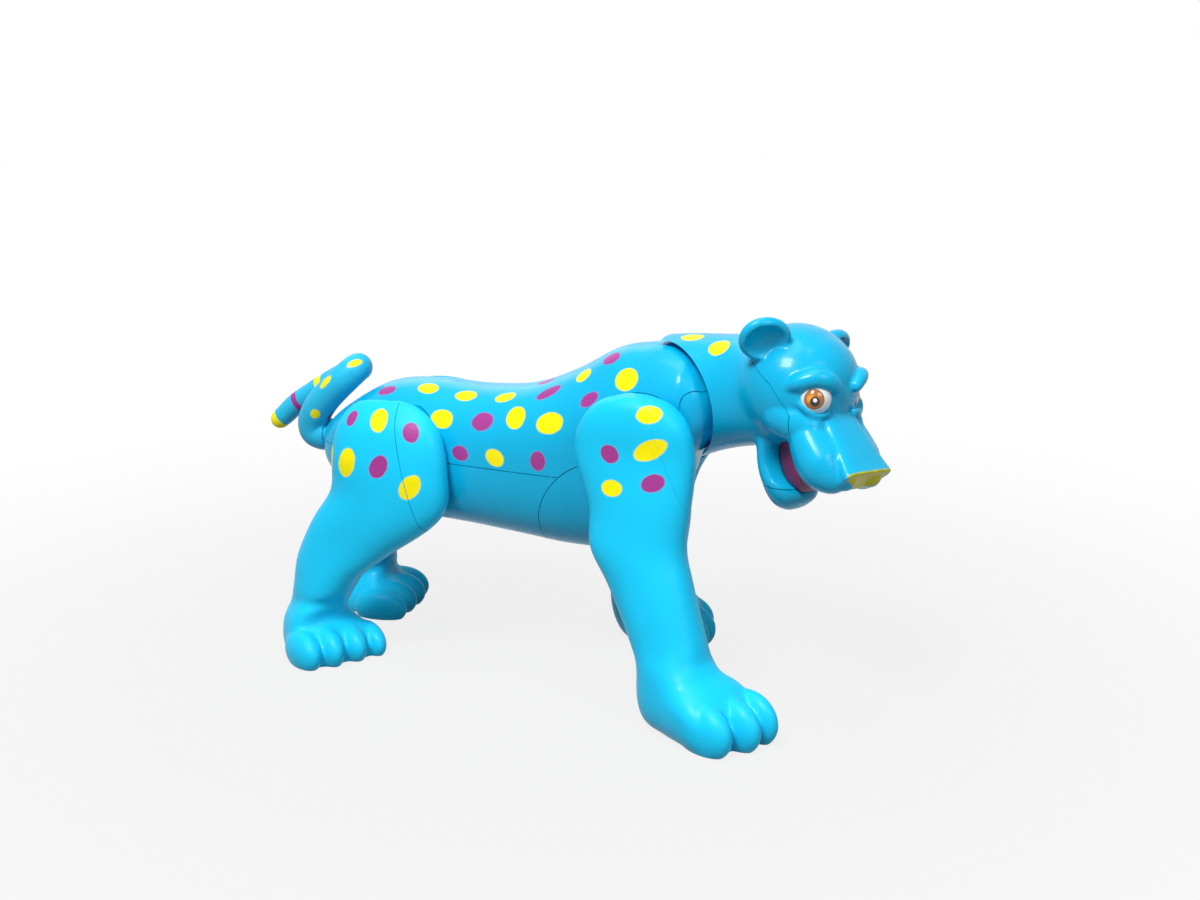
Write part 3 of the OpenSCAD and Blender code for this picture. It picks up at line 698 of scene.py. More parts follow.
def seat_rods(name, grow, depth):
    """Rods in the four seats of the legs, with a wall round them and ending at a depth from their floors."""
    rods = []
    for side in (-1, 1):
        disc = SHOULDER_DISC if side < 0 else LEFT_SHOULDER_DISC
        for pivot, radius, seat in ((SHOULDER, disc, SHOULDER_SEAT), (HIP, HIP_DISC, HIP_SEAT)):
            rods.append(cross_rod("rod", pivot.x, pivot.z, radius + GAP + grow, side * 40, side * (seat - depth)))
    return lump(name, *rods)


def chest_tool(grow):
    """Side outline of the chest moulding, widened by a part of the seam."""
    tab = SHOULDER_DISC + GAP + 0.9
    bowl_x, bowl_z, bowl = SHOULDER.x - 5.6, 27.9, 14.5
    chest, under, ahead = RUMP.x + TORSO_LENGTH, -5, 20
    outline = [
        (bowl_x - bowl - grow, under), (bowl_x - bowl - grow, bowl_z), (bowl_x, bowl_z + bowl - 2 + grow),
        (SHOULDER.x, SHOULDER.z + tab - 1.6 + grow), (NECK.x + 4.2, NECK.z - 0.2 + grow),
        (NECK.x + 5.4, NECK.z + 1.6 + grow), (chest - 2.5, NECK.z + 3.6 + grow),
        (chest - 0.5, NECK.z + 2.4 + grow), (chest + ahead, NECK.z + 2.4 + grow), (chest + ahead, under),
    ]
    tool = slab("chest_outline", outline, -50, 50)
    for x, z, radius, wide in ((SHOULDER.x, SHOULDER.z, tab, 49), (bowl_x, bowl_z, bowl, 48),
                               (NECK.x, NECK.z, 4.3, 4.8), (NECK.x + 7.1, NECK.z + 1.6, 2.1, 47)):
        carve(tool, cross_rod("rod", x, z, radius + grow, -wide, wide), "UNION")
    return tool


class CHEETAH_OT_torso(bpy.types.Operator):
    """Hollow back, belly and chest mouldings with seats for the legs"""

    bl_idname = "cheetah.torso"
    bl_label = "Torso"

    def execute(self, context):
        seam = context.scene.cheetah_sizes.seam / MM / 2
        rows = torso_rows()
        torso = torso_skin("torso", rows, 0, 12, 144)
        hollow = torso_skin("hollow", rows[2:-2], WALL, 2, 48)
        carve(hollow, seat_rods("cups", WALL, WALL))
        rib, thick, reach = 3.5, 0.9, 3.9
        ribs = [block("rib", (NECK.x - reach, side * rib - thick, 0),
                      (NECK.x + reach, side * rib + thick, NECK.z + reach)) for side in (-1, 1)]
        carve(hollow, lump("ribs", *ribs))
        carve(torso, hollow)
        carve(torso, seat_rods("seats", 0, 0))
        bores = [cross_rod("bore", pivot.x, pivot.z, PIVOT_R + 0.05, side * 12, side * (seat - WALL - 1))
                 for pivot, seat in ((SHOULDER, SHOULDER_SEAT), (HIP, HIP_SEAT)) for side in (-1, 1)]
        carve(torso, lump("bores", *bores))
        carve(torso, cross_rod("pin_bore", NECK.x, NECK.z, 1.51, -4.5, 4.5))
        carve(torso, block("neck_slot", (NECK.x + 4, -2.6, NECK.z - 3.4), (NECK.x + 34, 2.6, NECK.z + 6.4)))
        carve(torso, rod("tail_hole", (RUMP.x - 5, 0, HIP.z), (RUMP.x + 8, 0, HIP.z), 2.55))
        chest = copy_of(torso, "chest")
        carve(chest, chest_tool(-seam), "INTERSECT")
        # A lip under the skin fills the seam round the chest, so that no light shows through it
        rim = chest_tool(seam)
        carve(rim, torso_skin("core", rows, LIP_DEPTH, 6, 96))
        carve(torso, chest_tool(LIP_PLAY - seam))
        carve(torso, rim)
        belly = copy_of(torso, "belly")
        trim(belly, (0, 0, HIP.z - seam), (0, 0, 1))
        trim(torso, (0, 0, HIP.z + seam), (0, 0, -1))
        spots = both_sides(TORSO_SPOTS)
        for piece, name in ((torso, "back"), (belly, "belly"), (chest, "chest")):
            dress(piece, name + "_moulding", "torso", finishes()["body"], [name + "_shell"])
            mark(piece, spots)
        return {"FINISHED"}


def paw_row(heel, length, share, turn, outset, z, tilt, *halves):
    """Row of a paw at a share of its length ahead of the heel, set outwards."""
    a = math.radians(turn)
    return (heel[0] + share * length * math.cos(a) - outset * math.sin(a),
            heel[1] - share * length * math.sin(a) - outset * math.cos(a), z, tilt, turn, *halves)


def fore_rows(stride, shares, fronts, paw_share, turn):
    """Rows of a fore leg: place, tilt, turn, fore half, rear half, half width.

    The shares of the stride are for arm, elbow, forearm and shin, the fronts for shoulder, arm and elbow.
    """
    x, z, w = SHOULDER.x, SHOULDER.z, 7.0
    shoulder, arm, elbow = fronts

    def out(height):
        return -(FORE_OUT + (z - height) * math.tan(math.radians(9)))

    def paw(*row):
        return paw_row((x + stride, out(10)), paw_share * (24.6 - 6.8) / 0.72, *row)

    return [
        (x, out(z), z + 10.6, 0, 0, 2.4, 2.4, 2),
        (x, out(z), z + 9.3, 0, 0, 6.4, 6.4, 3.4),
        (x, out(z), z + 5.8, 0, 0, shoulder - 1.2, 9.6, 4.2),
        (x, out(z), z, 0, 0, shoulder, 10.8, 4.5),
        (x + shares[0] * stride, out(0.81 * z), 0.81 * z, 0, 0, arm, 8.9, 4.7),
        (x + shares[1] * stride, out(0.665 * z), 0.665 * z, 2, 0, elbow, 8.5, 4.9),
        (x + shares[2] * stride, out(0.54 * z), 0.54 * z, 6, 0.15 * turn, 7.4, 7.5, 5),
        (x + shares[3] * stride, out(0.34 * z), 0.34 * z, 6, 0.5 * turn, 6.7, 6.8, 5.2),
        paw(0, 0.8 * turn, 0, 11, 12, 6, 6.8, 0.86 * w),
        paw(0.08, turn, 0, 7.5, 42, 6.2, 10 * paw_share, 0.92 * w),
        paw(0.18, turn, -0.3, 6.2, 62, 5.4, 8.2, w),
        paw(0.28, turn, -0.6, 5.6, 78, 4.8, 7.2, 1.08 * w),
        paw(0.40, turn, -0.7, 4.6, 90, 4.5, 6.6, 1.08 * w),
        paw(0.48, turn, -0.7, 4, 92, 3.6, 5.8, 0.95 * w),
        paw(0.53, turn, -0.6, 3.6, 94, 2.4, 4.7, 0.66 * w),
    ]


def hind_rows(reach, turn):
    """Rows of a hind leg, in the same columns."""
    x, z, w = HIP.x, HIP.z, 0.59 * 14

    def out(height):
        return -(HIND_OUT + (z - height) * math.tan(math.radians(1.5)))

    def paw(*row):
        return paw_row((x - reach, 0.8 + out(10)), (16.4 - 6.9) / 0.665, *row)

    return [
        (x - 0.4, out(z) + 2.9, z + 10.9, 0, 0, 2.4, 2.4, 1.4),
        (x - 0.4, out(z) + 2.3, z + 9.9, 0, 0, 6.6, 6.6, 2.6),
        (x - 0.2, out(z) + 1, z + 6.3, 0, 0, 10.4, 9.8, 4),
        (x, out(z), z, -4, 0, 12, 11.2, 4.5),
        (x - 0.03 * reach, out(0.80 * z), 0.80 * z, -8, 0, 11.6, 11.2, 4.6),
        (x - 0.50 * reach, out(0.61 * z), 0.61 * z, -16, 0, 8.4, 8.8, 4.7),
        (x - 0.82 * reach, out(0.46 * z), 0.46 * z, -10, 0.3 * turn, 6.7, 7.5, 4.8),
        (x - 0.96 * reach, out(0.33 * z), 0.33 * z, 0, 0.6 * turn, 5.6, 6.6, 4.9),
        paw(0, 0.9 * turn, 0.45, 10.4, 8, 5, 7.4, 0.61 * w),
        paw(0, 0.95 * turn, 1.6, 8, 20, 4.9, 8.9, 0.66 * w),
        paw(0.04, turn, 1.1, 5.4, 40, 4.6, 9.8, 0.83 * w),
        paw(0.18, turn, 0.5, 4, 60, 3.4, 7.2, 0.92 * w),
        paw(0.32, turn, 0.2, 3.4, 78, 2.9, 5.6, 0.97 * w),
        paw(0.42, turn, 0, 3, 90, 2.6, 5.2, 0.96 * w),
        paw(0.49, turn, 0, 2.6, 92, 2.2, 4.6, 0.84 * w),
        paw(0.54, turn, 0, 2.3, 94, 1.5, 4, 0.6 * w),
    ]


def leg_ring(row, side, count):
    """Ring of a leg for one row."""
    x, y, z, tilt, turn, fore, rear, wide = row
    tilt, turn = math.radians(tilt), math.radians(turn)
    ring = []
    for c, s in oval(1, 1, 0.86, count):
        across = -wide * s
        along = (fore if c > 0 else rear) * c
        ahead = along * math.cos(tilt)
        ring.append((x + ahead * math.cos(turn) + across * math.sin(turn),
                     -side * (y - ahead * math.sin(turn) + across * math.cos(turn)),
                     z + along * math.sin(tilt)))
    return ring


# Toes of a paw: place across, half width, reach ahead of the row that they start from, half height
FORE_TOES = ((-3.9, 2.9, 9.2, 4.8), (1.3, 2.7, 10.7, 4.8), (5.7, 2.4, 10.4, 4.9))
HIND_TOES = ((-6.6, 2.7, 5.2, 3.9), (-2.3, 2.6, 6, 4), (2.4, 2.6, 5.9, 3.9), (6.8, 2.3, 5.4, 3.5))


def toes(row, side, spread, length, short):
    """Round toes side by side, sunk a little into the ground and drawn in where a paw is short."""
    sunk = 1.5
    turn = Matrix.Rotation(math.radians(row[4]) * side, 4, "Z")
    start = Matrix.Translation((row[0], -side * row[1], 0)) @ turn
    return [ball("toe", (tip - short - length, -side * across, height - sunk), (length, wide, height),
                 place=start) for across, wide, tip, height in spread]


def build_leg(name, side, kind, rows, panel_ahead, panel_lean, disc_r, spots, short=0):
    """One leg: its main moulding with the disc, and the panel that closes its front."""
    pivot, seat, out, gap, instep, spread, toe_length = kind
    leg = loft(name, [leg_ring(row, side, 96) for row in smooth_rows(rows, 6)])
    leg = lump(name, *toes(rows[-4], side, spread, toe_length, short), leg)
    knead(leg, LEG_GRAIN * MM, 5)
    soften(leg, lambda place: 1 - abs(place.z - instep) / 4, 24)
    carve(leg, cross_rod("flank", pivot.x, pivot.z, FLANK_R, side * (HALF + GAP), -side * HALF))
    trim(leg, (0, 0, 0), (0, 0, -1))
    turn = Matrix.Rotation(math.radians(-panel_lean), 4, "Y")
    disc = cross_rod("disc", pivot.x, pivot.z, disc_r, side * out, side * (seat + GAP))
    panel = copy_of(leg, "panel")
    for piece, how, shift in ((panel, "INTERSECT", gap), (leg, "DIFFERENCE", -gap)):
        place = Matrix.Translation((pivot.x + panel_ahead + shift, 0, pivot.z)) @ turn
        carve(piece, block("zone", (0, -100, -PANEL_DROP), (100, 100, 100), place), how)
    carve(panel, disc, keep=True)
    carve(leg, disc, "UNION")
    carve(leg, cross_rod("bore", pivot.x, pivot.z, PIVOT_R, side * (out - 1), side * (seat - 1)))
    for piece, label, node in ((leg, "_main_moulding", "_main"), (panel, "_front_panel", "_panel")):
        dress(piece, name + label, name + "_leg", finishes()["legs"], [name + node])
        mark(piece, spots)


class CHEETAH_OT_legs(bpy.types.Operator):
    """Four legs, each a main moulding on its disc and a front panel"""

    bl_idname = "cheetah.legs"
    bl_label = "Legs"

    def execute(self, context):
        seam = context.scene.cheetah_sizes.seam / MM / 2
        # Pivot, floor of its seat, middle of the leg, half gap of the panel, instep, toes and their half length
        fore = (SHOULDER, SHOULDER_SEAT, FORE_OUT, 0.28 * seam, 11.5, FORE_TOES, 6)
        hind = (HIP, HIP_SEAT, HIND_OUT, seam, 8.6, HIND_TOES, 5.6)
        right_stride, left_stride, right_reach, left_reach = 10, -11, 14.5, 20
        fore_lean, hind_lean = 24, 15
        left_fore_lean = fore_lean - math.degrees(
            math.atan(right_stride / SHOULDER.z) + math.atan(-left_stride / SHOULDER.z))
        left_hind_lean = hind_lean + math.degrees(math.atan(right_reach / HIP.z) - math.atan(left_reach / HIP.z))
        build_leg("front_right", -1, fore,
                  fore_rows(right_stride, (0.14, 0.17, 0.43, 0.81), (10.8, 9, 8.5), 1, 25),
                  6.9, fore_lean, SHOULDER_DISC, FORE_SPOTS)
        build_leg("front_left", 1, fore,
                  fore_rows(left_stride, (0.48, 0.70, 0.80, 0.91), (6.6, 6.6, 6.8), 0.86, 8),
                  4.3, left_fore_lean, LEFT_SHOULDER_DISC, mirrored(FORE_SPOTS), short=2.3)
        build_leg("rear_right", -1, hind, hind_rows(right_reach, 31.25), 5.2, hind_lean, HIP_DISC, HIND_SPOTS)
        build_leg("rear_left", 1, hind, hind_rows(left_reach, 10), 5.2, left_hind_lean, HIP_DISC,
                  mirrored(HIND_SPOTS))
        return {"FINISHED"}


def in_head(rings):
    """Rings moved from the head's frame to the figure."""
    return [[HEAD @ Vector(point) for point in ring] for ring in rings]


def long_rings(rows, steps, power, count):
    """Rings along the head over rows of place, top, bottom and half width."""
    return in_head([[(x, y, (top + bottom) / 2 + z) for y, z in oval(wide, (top - bottom) / 2, power, count)]
                    for x, top, bottom, wide in smooth_rows(rows, steps)])


def hung_rings(rows, steps, count):
    """Rings down the head over rows of height, back, front and half width."""
    return in_head([[((back + front) / 2 + x, -y, z) for x, y in oval((front - back) / 2, wide, 0.85, count)]
                    for z, back, front, wide in smooth_rows(rows, steps)])


JAW_ROWS = [(-5, -4, 0.8, 6.6), (-9, -3.5, 0.3, 6.4), (-12.5, -3.3, 0.2, 6.1), (-15, -3, 1.7, 5.8),
            (-16.7, -2.8, 4.2, 5.4), (-18.6, -2.1, 4.6, 4.6), (-20.2, -0.8, 3.2, 3.1), (-21, 0.4, 1.8, 1.3)]
MOUTH_ROWS = [(-3, -1.1, 10.9, 4.4), (-9, -0.9, 10.9, 4.3), (-13, -0.5, 10.9, 4), (-15.7, 0.9, 10.4, 3.4),
              (-17.2, 3.1, 8.9, 2)]
TONGUE_ROWS = [(-8.6, -3.1, 3, 5), (-10.4, -3.1, 4.9, 6), (-12.5, -3.1, 5.8, 6), (-15.4, -2.1, 6.4, 5),
               (-18, 0.9, 4.5, 3)]
BRIDGE_ROWS = [(2, 2, -5, 4.2), (6, 0.2, -7.6, 4.2), (8.5, -2, -9.4, 4.1), (10.3, -3.6, -10.8, 4.1),
               (13.6, -7.1, -15, 4.9), (16.3, -10.2, -15.6, 5.6), (18.5, -12.4, -15.6, 6)]
# Neck from the collar into the head: place ahead and above, tilt, shares of height and width, drift to the side
NECK_ROWS = [(2.2, 0.9, 20.7, 0.545, 0.515, 0), (7, 1.9, 15, 0.505, 0.495, 0), (12, 2.7, 9, 0.475, 0.485, 0.15),
             (17, 3.6, 4, 0.465, 0.485, 0.45), (22, 4.6, 0, 0.46, 0.46, 0.9)]
NECK_HIGH = 20
NECK_WIDE = 20.6
NOSE_PLACE = Vector((17.4, 0, -11.6))
NOSE_FACING = Vector((0.707, 0, -0.707))
CHIN_SEAM = Vector((0, 0, -16.9))
# Ears: middle, turn, half depth and half height of the near and of the far one, which is a little lower
EARS = {-1: (Vector((1, -9.8, 7.9)), -28, 1.8, 4.0), 1: (Vector((0.4, 7.8, 5.6)), 10, 2.1, 3.5)}
# Planes of the seam from behind the ears to the corner of the mouth: a point and the way to the face
FACE_SEAM = (((0, 0, 2.963), (0.5525, 0, 0.8335)), ((3.74, 0, 0), (0.829, 0, 0.559)), ((6.4, 0, 0), (1, 0, 0)))


def neck_rings(count):
    """Rings of the neck from the collar into the head."""
    rings = []
    for x, z, tilt, high, wide, drift in smooth_rows(NECK_ROWS, 8):
        a = math.radians(tilt)
        rings.append([(NECK.x + x - up * math.sin(a), out - HEAD_ASIDE * drift, NECK.z + z + up * math.cos(a))
                      for out, up in oval(NECK_WIDE * wide, NECK_HIGH * high, 0.9, count)])
    return rings


def ear(side):
    """Broad shallow cupped ear with a rounded rim."""
    middle, yaw, deep, high = EARS[side]
    turn = Matrix.Rotation(math.radians(yaw), 4, "Z") @ Matrix.Rotation(math.radians(24), 4, "Y")
    shell = ball("ear", middle, (deep, 4.5, high), turn)
    dish = ball("dish", middle + turn.to_3x3() @ Vector((1.8, 0, 0)), (2.2, 3.7, high - 0.7), turn)
    return carve(shell, dish)


def face_side(side):
    """Brow, lower lid, cheek, lip pad and ear of one side of the face."""
    def strand(name, *rows):
        return loft(name, in_head(rope([(x, y * side, z, r) for x, y, z, r in rows], 6, 24)))

    brow = 1 if side < 0 else 0.78
    return [
        strand("brow", (5.4, 8.2, 0.6, 0.9), (6.9, 7.6, 1.6, 1.4), (8.8, 5.6, 2.5, 1.7 * brow),
               (10, 4, 2.2, 1.6 * brow), (10.6, 2.4, 1.2, 1.1)),
        strand("lid", (6.3, 7.3, -0.9, 0.5), (8, 6.9, -2.3, 0.65), (9.3, 5.4, -3.4, 0.65),
               (10.2, 3.6, -3.1, 0.5)),
        strand("cheek", (3.1, 5.6, -4.1, 4.0), (5.4, 5.1, -5, 3.6), (7.4, 4.5, -5.7, 3.0)),
        strand("lip", (6.4, 4.8, -5.8, 2.8), (8.2, 4.6, -8.2, 3.6), (10.6, 4.2, -11.2, 4.1),
               (12.8, 3.7, -12.6, 3.3), (14.5, 3.1, -12.9, 2)),
        ear(side),
    ]


def face_tool(shift):
    """Everything behind the seam of the face."""
    tool = block("behind_face", (-60, -60, -60), (60, 60, 60), HEAD)
    for place, direction in FACE_SEAM:
        facing = HEAD_TURN @ Vector(direction)
        trim(tool, HEAD @ Vector(place) + facing * shift, facing)
    return tool


class CHEETAH_OT_head(bpy.types.Operator):
    """Neck halves, chin, face and nose, kneaded as one head and cut along its seams"""

    bl_idname = "cheetah.head"
    bl_label = "Neck and head"

    def execute(self, context):
        sizes = context.scene.cheetah_sizes
        seam = sizes.seam / MM / 2
        jaw = loft("jaw", hung_rings(JAW_ROWS, 5, 64))
        carve(jaw, loft("mouth", hung_rings(MOUTH_ROWS, 5, 64)))
        bridge = loft("bridge", long_rings(BRIDGE_ROWS, 5, 0.5, 64))
        trim(bridge, HEAD @ NOSE_PLACE, HEAD_TURN @ NOSE_FACING)
        head = lump("head", loft("neck", neck_rings(96)), ball("skull", (0, 0, 0), (10.5, 10.5, 10)), jaw,
                    ball("forehead", (2.8, 0, 1.6), (7.6, 8.4, 7.4)), bridge, *face_side(-1), *face_side(1))
        knead(head, sizes.grain, sizes.softness)
        soften(head, lambda place: 1.4 - abs((HEAD.inverted() @ place).x + 7) / 5, 200)
        carve(head, cross_rod("knuckle", NECK.x, NECK.z, KNUCKLE, -40, 40))
        carve(head, block("yoke_pocket", (NECK.x, -2.2, NECK.z - 3), (NECK.x + 17, 2.2, NECK.z + 3)))
        face = copy_of(head, "face")
        carve(face, face_tool(seam))
        carve(head, face_tool(-seam), "INTERSECT")
        down = HEAD_TURN @ Vector((0, 0, -1))
        chin = copy_of(head, "chin")
        trim(chin, HEAD @ CHIN_SEAM + down * seam, -down)
        trim(head, HEAD @ CHIN_SEAM - down * seam, down)
        left = copy_of(head, "left")
        trim(head, (0, -seam, 0), (0, 1, 0))
        trim(left, (0, seam, 0), (0, -1, 0))
        for piece, name, node, finish in (
                (head, "neck_right_moulding", "neck_right_shell", "body"),
                (left, "neck_left_moulding", "neck_left_shell", "body"),
                (chin, "chin_moulding", "jaw_shell", "body"), (face, "face_moulding", "face_shell", "face")):
            dress(piece, name, "head", finishes()[finish], [node])
            mark(piece, NECK_SPOTS)
        # The nose is painted on the flat end of the bridge, narrower towards the mouth
        back = (Matrix.Translation(MIDDLE) @ HEAD).inverted()
        places = [back @ (point.co / MM) for point in face.data.vertices]
        store(face, "nose_edge", [max(-0.35 - (place - NOSE_PLACE).dot(NOSE_FACING),
                                      0.64 * (abs(place.y) - 5.9 - 1.2 * (place.z + 11.5)))
                                  for place in places])
        return {"FINISHED"}


class CHEETAH_OT_tongue(bpy.types.Operator):
    """Tongue that lies in the open mouth"""

    bl_idname = "cheetah.tongue"
    bl_label = "Tongue"

    def execute(self, context):
        tongue = loft("tongue", hung_rings(MOUTH_ROWS, 4, 64))
        carve(tongue, loft("tongue_form", hung_rings(TONGUE_ROWS, 4, 64)), "INTERSECT")
        knead(tongue, 0.22 * MM, 8)
        dress(tongue, "tongue_moulding", "head", finishes()["mouth"], ["tongue"])
        return {"FINISHED"}


# Eyes: middles of the near and of the far one, and where each painted part lies
EYES = {-1: Vector((8.2, -4.7, -0.8)), 1: Vector((6.5, 4.5, -1.2))}
GAZE = Vector((0.62, 0.78, 0.06))
EYE_AIMS = {
    "from_iris": GAZE,
    "from_pupil": GAZE + Vector((0.05, -0.03, -0.13)),
    # Middle of the painted glint, a light dot that stands in for a lamp's reflection
    "from_painted_glint": GAZE + Vector((0.04, -0.04, -0.04)),
    # The paler side of the iris is a painted highlight
    "from_painted_iris_highlight": GAZE + Vector((-0.16, 0.14, 0)),
}


def eye_paint():
    """Painted eye: white, amber iris with a dark rim and a painted highlight on one side, dark pupil and a light
    dot that is a painted glint.
    """
    iris = bpy.context.scene.cheetah_colours.iris
    # The light dot's colour is a painted glint, standing in for a lamp's reflection
    dark_rim, pupil, painted_glint = (*shade(iris, 0.25), 1), (0.012, 0.008, 0.006, 1), (0.9, 0.9, 0.9, 1)
    nodes = Surface("eye_paint")
    away = nodes.calc("ADD", nodes.kept("from_iris"), nodes.span(nodes.noise(1500, 3), 0.2, 0.8, -0.05, 0.05))
    white = nodes.clouds(500, 3, (0.72, 0.74, 0.76), (0.82, 0.83, 0.84))
    # Painted highlight: the iris turns paler towards this aim
    paint = nodes.mix(nodes.within(nodes.kept("from_painted_iris_highlight"), 0.2, 1.0),
                      (*shade(iris, 0.7), 1), (*shade(iris, 1.9), 1))
    paint = nodes.mix(nodes.edge(away, 1.5, 1.68), paint, dark_rim)
    paint = nodes.mix(nodes.edge(away, 1.68, 1.8), paint, white)
    paint = nodes.mix(nodes.within(nodes.kept("from_pupil"), 0.7, 0.95), paint, pupil)
    # Painted glint: a light dot over the iris where a reflection would be
    paint = nodes.mix(nodes.within(nodes.kept("from_painted_glint"), 0.28, 0.4), paint, painted_glint)
    nodes.set(nodes.shader, Base_Color=paint, Roughness=nodes.span(nodes.noise(700, 2), 0.3, 0.7, 0.1, 0.2),
              Coat_Weight=0.3, Coat_Roughness=0.05)
    return nodes.material


class CHEETAH_OT_eyes(bpy.types.Operator):
    """Painted eyeballs under the brows"""

    bl_idname = "cheetah.eyes"
    bl_label = "Eyes"

    def execute(self, context):
        paint = eye_paint()
        radius = context.scene.cheetah_sizes.eye / MM
        for name, side in (("eye_right", -1), ("eye_left", 1)):
            eye = ball(name, EYES[side], (radius, radius, radius))
            centre = metres(HEAD @ EYES[side]) / MM
            places = [point.co / MM - centre for point in eye.data.vertices]
            for key, aim in EYE_AIMS.items():
                direction = HEAD_TURN @ Vector((aim.x, side * aim.y, aim.z))
                store(eye, key, [radius * place.angle(direction, 0) for place in places])
            dress(eye, name, "head", paint, angle=60)
        return {"FINISHED"}


# Tail from its root to its tip: place from the peg, and radius
TAIL_ROWS = [(-0.4, 0, 0, 3.1), (-2.2, 0, -0.1, 3.1), (-3.6, -0.3, 0.6, 3.05), (-3.5, -0.8, 2.7, 3),
             (-1.8, -1.5, 5.4, 2.95), (0.8, -1.8, 8.3, 2.9), (4.1, -1.6, 11.4, 2.85), (5.9, -0.2, 13.3, 2.75),
             (5.2, 1.8, 13.1, 2.65), (2.2, 3.5, 11.4, 2.5), (-0.6, 4.1, 10.1, 2.45), (-5.3, 4.3, 7.5, 2.3),
             (-10.6, 4.2, 4.2, 2.1), (-13.2, 4.1, 1.95, 2), (-14.6, 4.05, 0.75, 1.9)]


def from_tail_tip(tail, path):
    """Distance of each point of the tail from its tip, measured along its path."""
    line = np.array([metres(row[:3]) for row in smooth_rows(path, 10)]) / MM
    run = np.concatenate([[0], np.cumsum(np.linalg.norm(np.diff(line, axis=0), axis=1))])
    ahead = np.gradient(line, axis=0)
    ahead /= np.linalg.norm(ahead, axis=1)[:, None]
    place = points_of(tail) / MM
    near = ((place[:, None, :] - line[None]) ** 2).sum(2).argmin(1)
    along = run[near] + ((place - line[near]) * ahead[near]).sum(1)
    return run[-1] + path[-1][3] - along


class CHEETAH_OT_tail(bpy.types.Operator):
    """Looped tail on its flanged peg, with painted bands"""

    bl_idname = "cheetah.tail"
    bl_label = "Tail"

    def execute(self, context):
        path = [(RUMP.x + x, y, HIP.z + z, radius) for x, y, z, radius in TAIL_ROWS]
        tail = knead(loft("tail", rope(path, 8, 48, (False, True))), 0.25 * MM, 5)
        for name, start, end, radius in (("peg", -1, 6.2, 2.5), ("flange", 6, 7.6, 3.7)):
            carve(tail, rod(name, (RUMP.x + start, 0, HIP.z), (RUMP.x + end, 0, HIP.z), radius), "UNION")
        dress(tail, "tail_moulding", "tail", finishes()["tail"], ["tail"])
        mark(tail, TAIL_SPOTS, from_tail_tip(tail, path))
        return {"FINISHED"}


class CHEETAH_OT_pins(bpy.types.Operator):
    """Finishes of the hidden pins, pivots and neck yoke"""

    bl_idname = "cheetah.pins"
    bl_label = "Pins and pivots"

    def execute(self, context):
        for name, node in frame["nodes"].items():
            if name in ("neck_pin", "neck_yoke") or name.endswith("_pivot"):
                for place in node.material_slots:
                    place.material = finishes()["pin" if name == "neck_pin" else "inner"]
        return {"FINISHED"}


# Lamps in metres and watts: name, place, size, power
LAMPS = (("key", (-0.02, -0.42, 0.6), 0.2, 5.2), ("fill", (0.5, -0.32, 0.45), 0.3, 1.4),
         ("top", (-0.05, -0.05, 0.75), 0.4, 1.8), ("back", (-0.45, 0.45, 0.4), 0.4, 0.5))
LAMP_AIM = Vector((0, 0, 0.035))
# Camera: azimuth, elevation, place that it looks at and distance from it, in millimetres
CAMERA_AZIMUTH = math.radians(24)
CAMERA_ELEVATION = math.radians(14.5)
CAMERA_AIM = Vector((-4.457, 31.54, 33.0))
CAMERA_DISTANCE = 330


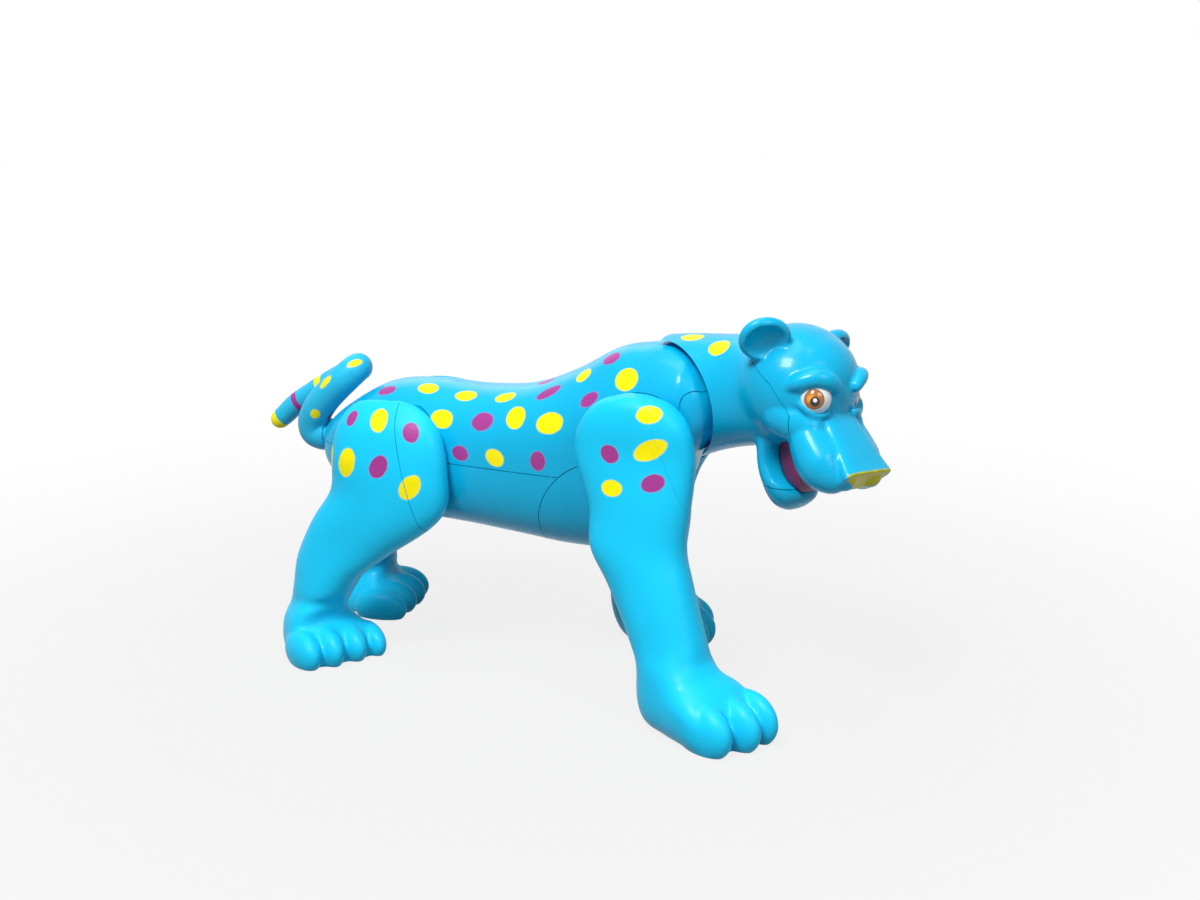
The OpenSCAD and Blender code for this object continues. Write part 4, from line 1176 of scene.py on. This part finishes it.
class CHEETAH_OT_stage(bpy.types.Operator):
    """Pale floor, soft lamps, white surroundings and the camera"""

    bl_idname = "cheetah.stage"
    bl_label = "Stage"

    def execute(self, context):
        scene = context.scene
        white = (1, 1, 1, 1)
        settle()
        bpy.ops.mesh.primitive_circle_add(vertices=96, radius=3, fill_type="NGON")
        floor = bpy.context.object
        floor.name = "floor"
        nodes = Surface("pale_floor")
        nodes.set(nodes.shader, Base_Color=(*scene.cheetah_colours.floor, 1.0), Roughness=0.9,
                  Specular_IOR_Level=0.1, Normal=nodes.bump(nodes.noise(60, 2), 0.02, 0.001))
        glow = nodes.set(nodes.add("Emission"), Color=white, Strength=1.0)
        reach = nodes.add("VectorMath", operation="LENGTH")
        nodes.feed(reach.inputs[0], nodes.place)
        share = nodes.span(reach.outputs["Value"], 0.05, 0.22, 0.84, 1.0, "SMOOTHSTEP")
        share = nodes.calc("MULTIPLY", share, nodes.seen())
        nodes.feed(nodes.out.inputs[0], nodes.blend(share, nodes.shader, glow))
        floor.data.materials.append(nodes.material)

        for name, place, size, power in LAMPS:
            bpy.ops.object.light_add(type="AREA", location=place)
            lamp = bpy.context.object
            lamp.name = name
            lamp.data.size, lamp.data.energy = size, power
            lamp.rotation_euler = (Vector(place) - LAMP_AIM).to_track_quat("Z", "Y").to_euler()

        world = bpy.data.worlds.new("white_room")
        scene.world = world
        world.use_nodes = True
        air = Nodes(world.node_tree)
        soft = air.set(air.add("Background"), Color=(0.95, 0.97, 1, 1), Strength=0.06)
        plain = air.set(air.add("Background"), Color=white, Strength=1.0)
        air.feed(air.add("OutputWorld").inputs[0], air.blend(air.seen(), soft, plain))

        level = math.cos(CAMERA_ELEVATION)
        away = Vector((math.sin(CAMERA_AZIMUTH) * level, -math.cos(CAMERA_AZIMUTH) * level,
                       math.sin(CAMERA_ELEVATION)))
        bpy.ops.object.camera_add(location=(CAMERA_AIM + away * CAMERA_DISTANCE) * MM,
                                  rotation=away.to_track_quat("Z", "Y").to_euler())
        camera = bpy.context.object
        camera.data.lens, camera.data.sensor_width = 50, 36
        camera.data.clip_start = 0.01
        scene.camera = camera
        scene.view_settings.view_transform = "Standard"
        return {"FINISHED"}


class CHEETAH_PT_panel(bpy.types.Panel):
    """Builds the figure piece by piece"""

    bl_idname = "CHEETAH_PT_panel"
    bl_label = "Cheetah figure"
    bl_space_type = "VIEW_3D"
    bl_region_type = "UI"
    bl_category = "Cheetah"

    def draw(self, context):
        for group in (context.scene.cheetah_colours, context.scene.cheetah_sizes):
            column = self.layout.column()
            for key in group.__annotations__:
                column.prop(group, key)
        for step in STEPS:
            self.layout.operator(step.bl_idname)


STEPS = (CHEETAH_OT_stage, CHEETAH_OT_torso, CHEETAH_OT_legs, CHEETAH_OT_head, CHEETAH_OT_tongue,
         CHEETAH_OT_eyes, CHEETAH_OT_tail, CHEETAH_OT_pins)
CLASSES = (CheetahColours, CheetahSizes, *STEPS, CHEETAH_PT_panel)


def register():
    for kind in CLASSES:
        bpy.utils.register_class(kind)
    bpy.types.Scene.cheetah_colours = bpy.props.PointerProperty(type=CheetahColours)
    bpy.types.Scene.cheetah_sizes = bpy.props.PointerProperty(type=CheetahSizes)


def unregister():
    del bpy.types.Scene.cheetah_colours
    del bpy.types.Scene.cheetah_sizes
    for kind in reversed(CLASSES):
        bpy.utils.unregister_class(kind)


def main():
    register()
    bpy.ops.cheetah.stage()
    bpy.ops.cheetah.torso()
    bpy.ops.cheetah.legs()
    bpy.ops.cheetah.head()
    bpy.ops.cheetah.tongue()
    bpy.ops.cheetah.eyes()
    bpy.ops.cheetah.tail()
    bpy.ops.cheetah.pins()


if __name__ == "__main__":
    main()
